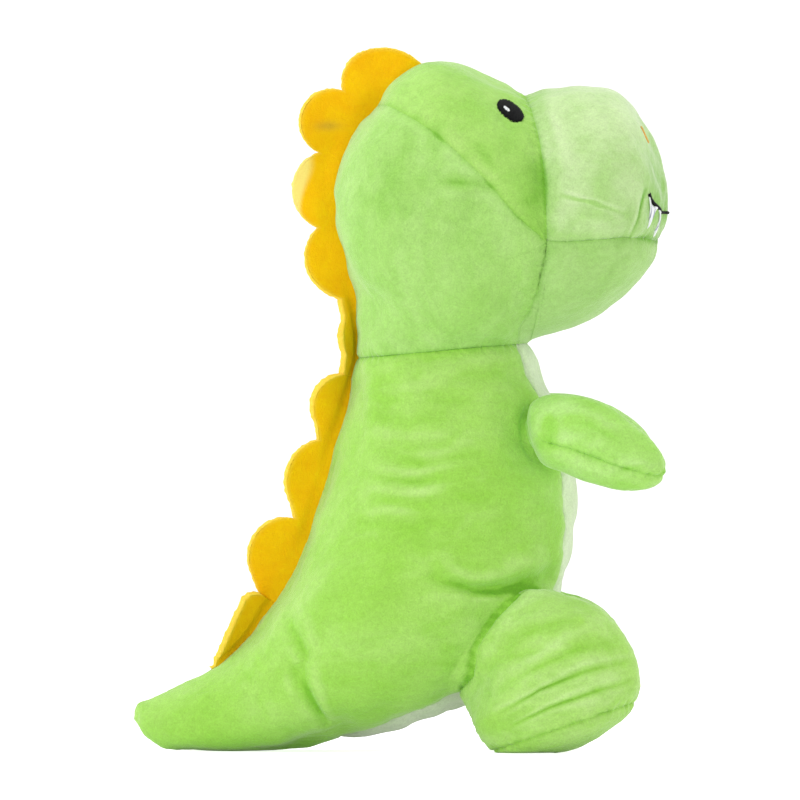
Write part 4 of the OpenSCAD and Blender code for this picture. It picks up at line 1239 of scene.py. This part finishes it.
# ---------------------------------------------------------------- floor, light and camera
floor_me = bpy.data.meshes.new("floor")
floor_me.from_pydata([(-4, -4, 0), (4, -4, 0), (4, 4, 0), (-4, 4, 0)], [], [(0, 1, 2, 3)])
floor = bpy.data.objects.new("floor", floor_me)
bpy.context.scene.collection.objects.link(floor)
k = Nodes("floor_white")
tone = k.noise(k.coords(), 6, 2, 0.5)
k.link(k.ramp(tone, [(0.3, 0.93), (0.7, 0.96)]), k.shader.inputs["Base Color"])
lit = k.add("ShaderNodeLightPath")
glow = k.add("ShaderNodeMapRange")
glow.inputs["To Min"].default_value, glow.inputs["To Max"].default_value = 0.08, 0.75
k.link(lit.outputs["Is Camera Ray"], glow.inputs["Value"])
k.link(glow.outputs[0], k.shader.inputs["Emission Strength"])
floor_me.materials.append(k.finish(Roughness=0.9, Emission_Color=gray(1)))

world = bpy.data.worlds.new("studio")
bpy.context.scene.world = world
world.use_nodes = True
wt = world.node_tree
back = wt.nodes["Background"]
back.inputs[0].default_value = gray(1)
back.inputs[1].default_value = 0.6
bright = wt.nodes.new("ShaderNodeBackground")
bright.inputs[0].default_value = gray(1)
bright.inputs[1].default_value = 1.15
path = wt.nodes.new("ShaderNodeLightPath")
mixed = wt.nodes.new("ShaderNodeMixShader")
wt.links.new(path.outputs["Is Camera Ray"], mixed.inputs[0])
wt.links.new(back.outputs[0], mixed.inputs[1])
wt.links.new(bright.outputs[0], mixed.inputs[2])
wt.links.new(mixed.outputs[0], wt.nodes["World Output"].inputs[0])


def area(name, at, height, size, power):
    """A square soft light that points at the object's middle at a height."""
    light = bpy.data.lights.new(name, "AREA")
    light.shape = "RECTANGLE"
    light.size = light.size_y = size
    light.energy = power
    ob = bpy.data.objects.new(name, light)
    bpy.context.scene.collection.objects.link(ob)
    ob.location = at
    ob.rotation_euler = (Vector((0, 0, height)) - Vector(at)).to_track_quat("-Z", "Y").to_euler()


area("key", (-1.1, -1.3, 1.1), 0.13, 1.2, 11)
area("top", (0.1, 0.1, 1.7), 0.14, 1.6, 12)
area("fill", (0.7, -1.6, 0.2), 0.12, 1.2, 3)
area("rim_left", (-1.5, 0.7, 0.5), 0.14, 1.2, 10)
area("rim_right", (1.5, 0.8, 0.5), 0.14, 1.2, 9)

VIEW_WIDTH = 0.320      # how wide a stretch the picture takes in at the object
camera = bpy.data.cameras.new("camera")
camera.sensor_width = 36
distance = 9.0
elevation = math.radians(0.15)
camera.lens = camera.sensor_width * distance / VIEW_WIDTH
camera.clip_end = 50
cam = bpy.data.objects.new("camera", camera)
bpy.context.scene.collection.objects.link(cam)
aim = Vector((0.0004, 0, 0.1404))
cam.location = aim + Vector((0, -math.cos(elevation), math.sin(elevation))) * distance
cam.rotation_euler = (aim - cam.location).to_track_quat("-Z", "Y").to_euler()
bpy.context.scene.camera = cam
bpy.context.scene.view_settings.view_transform = "Standard"
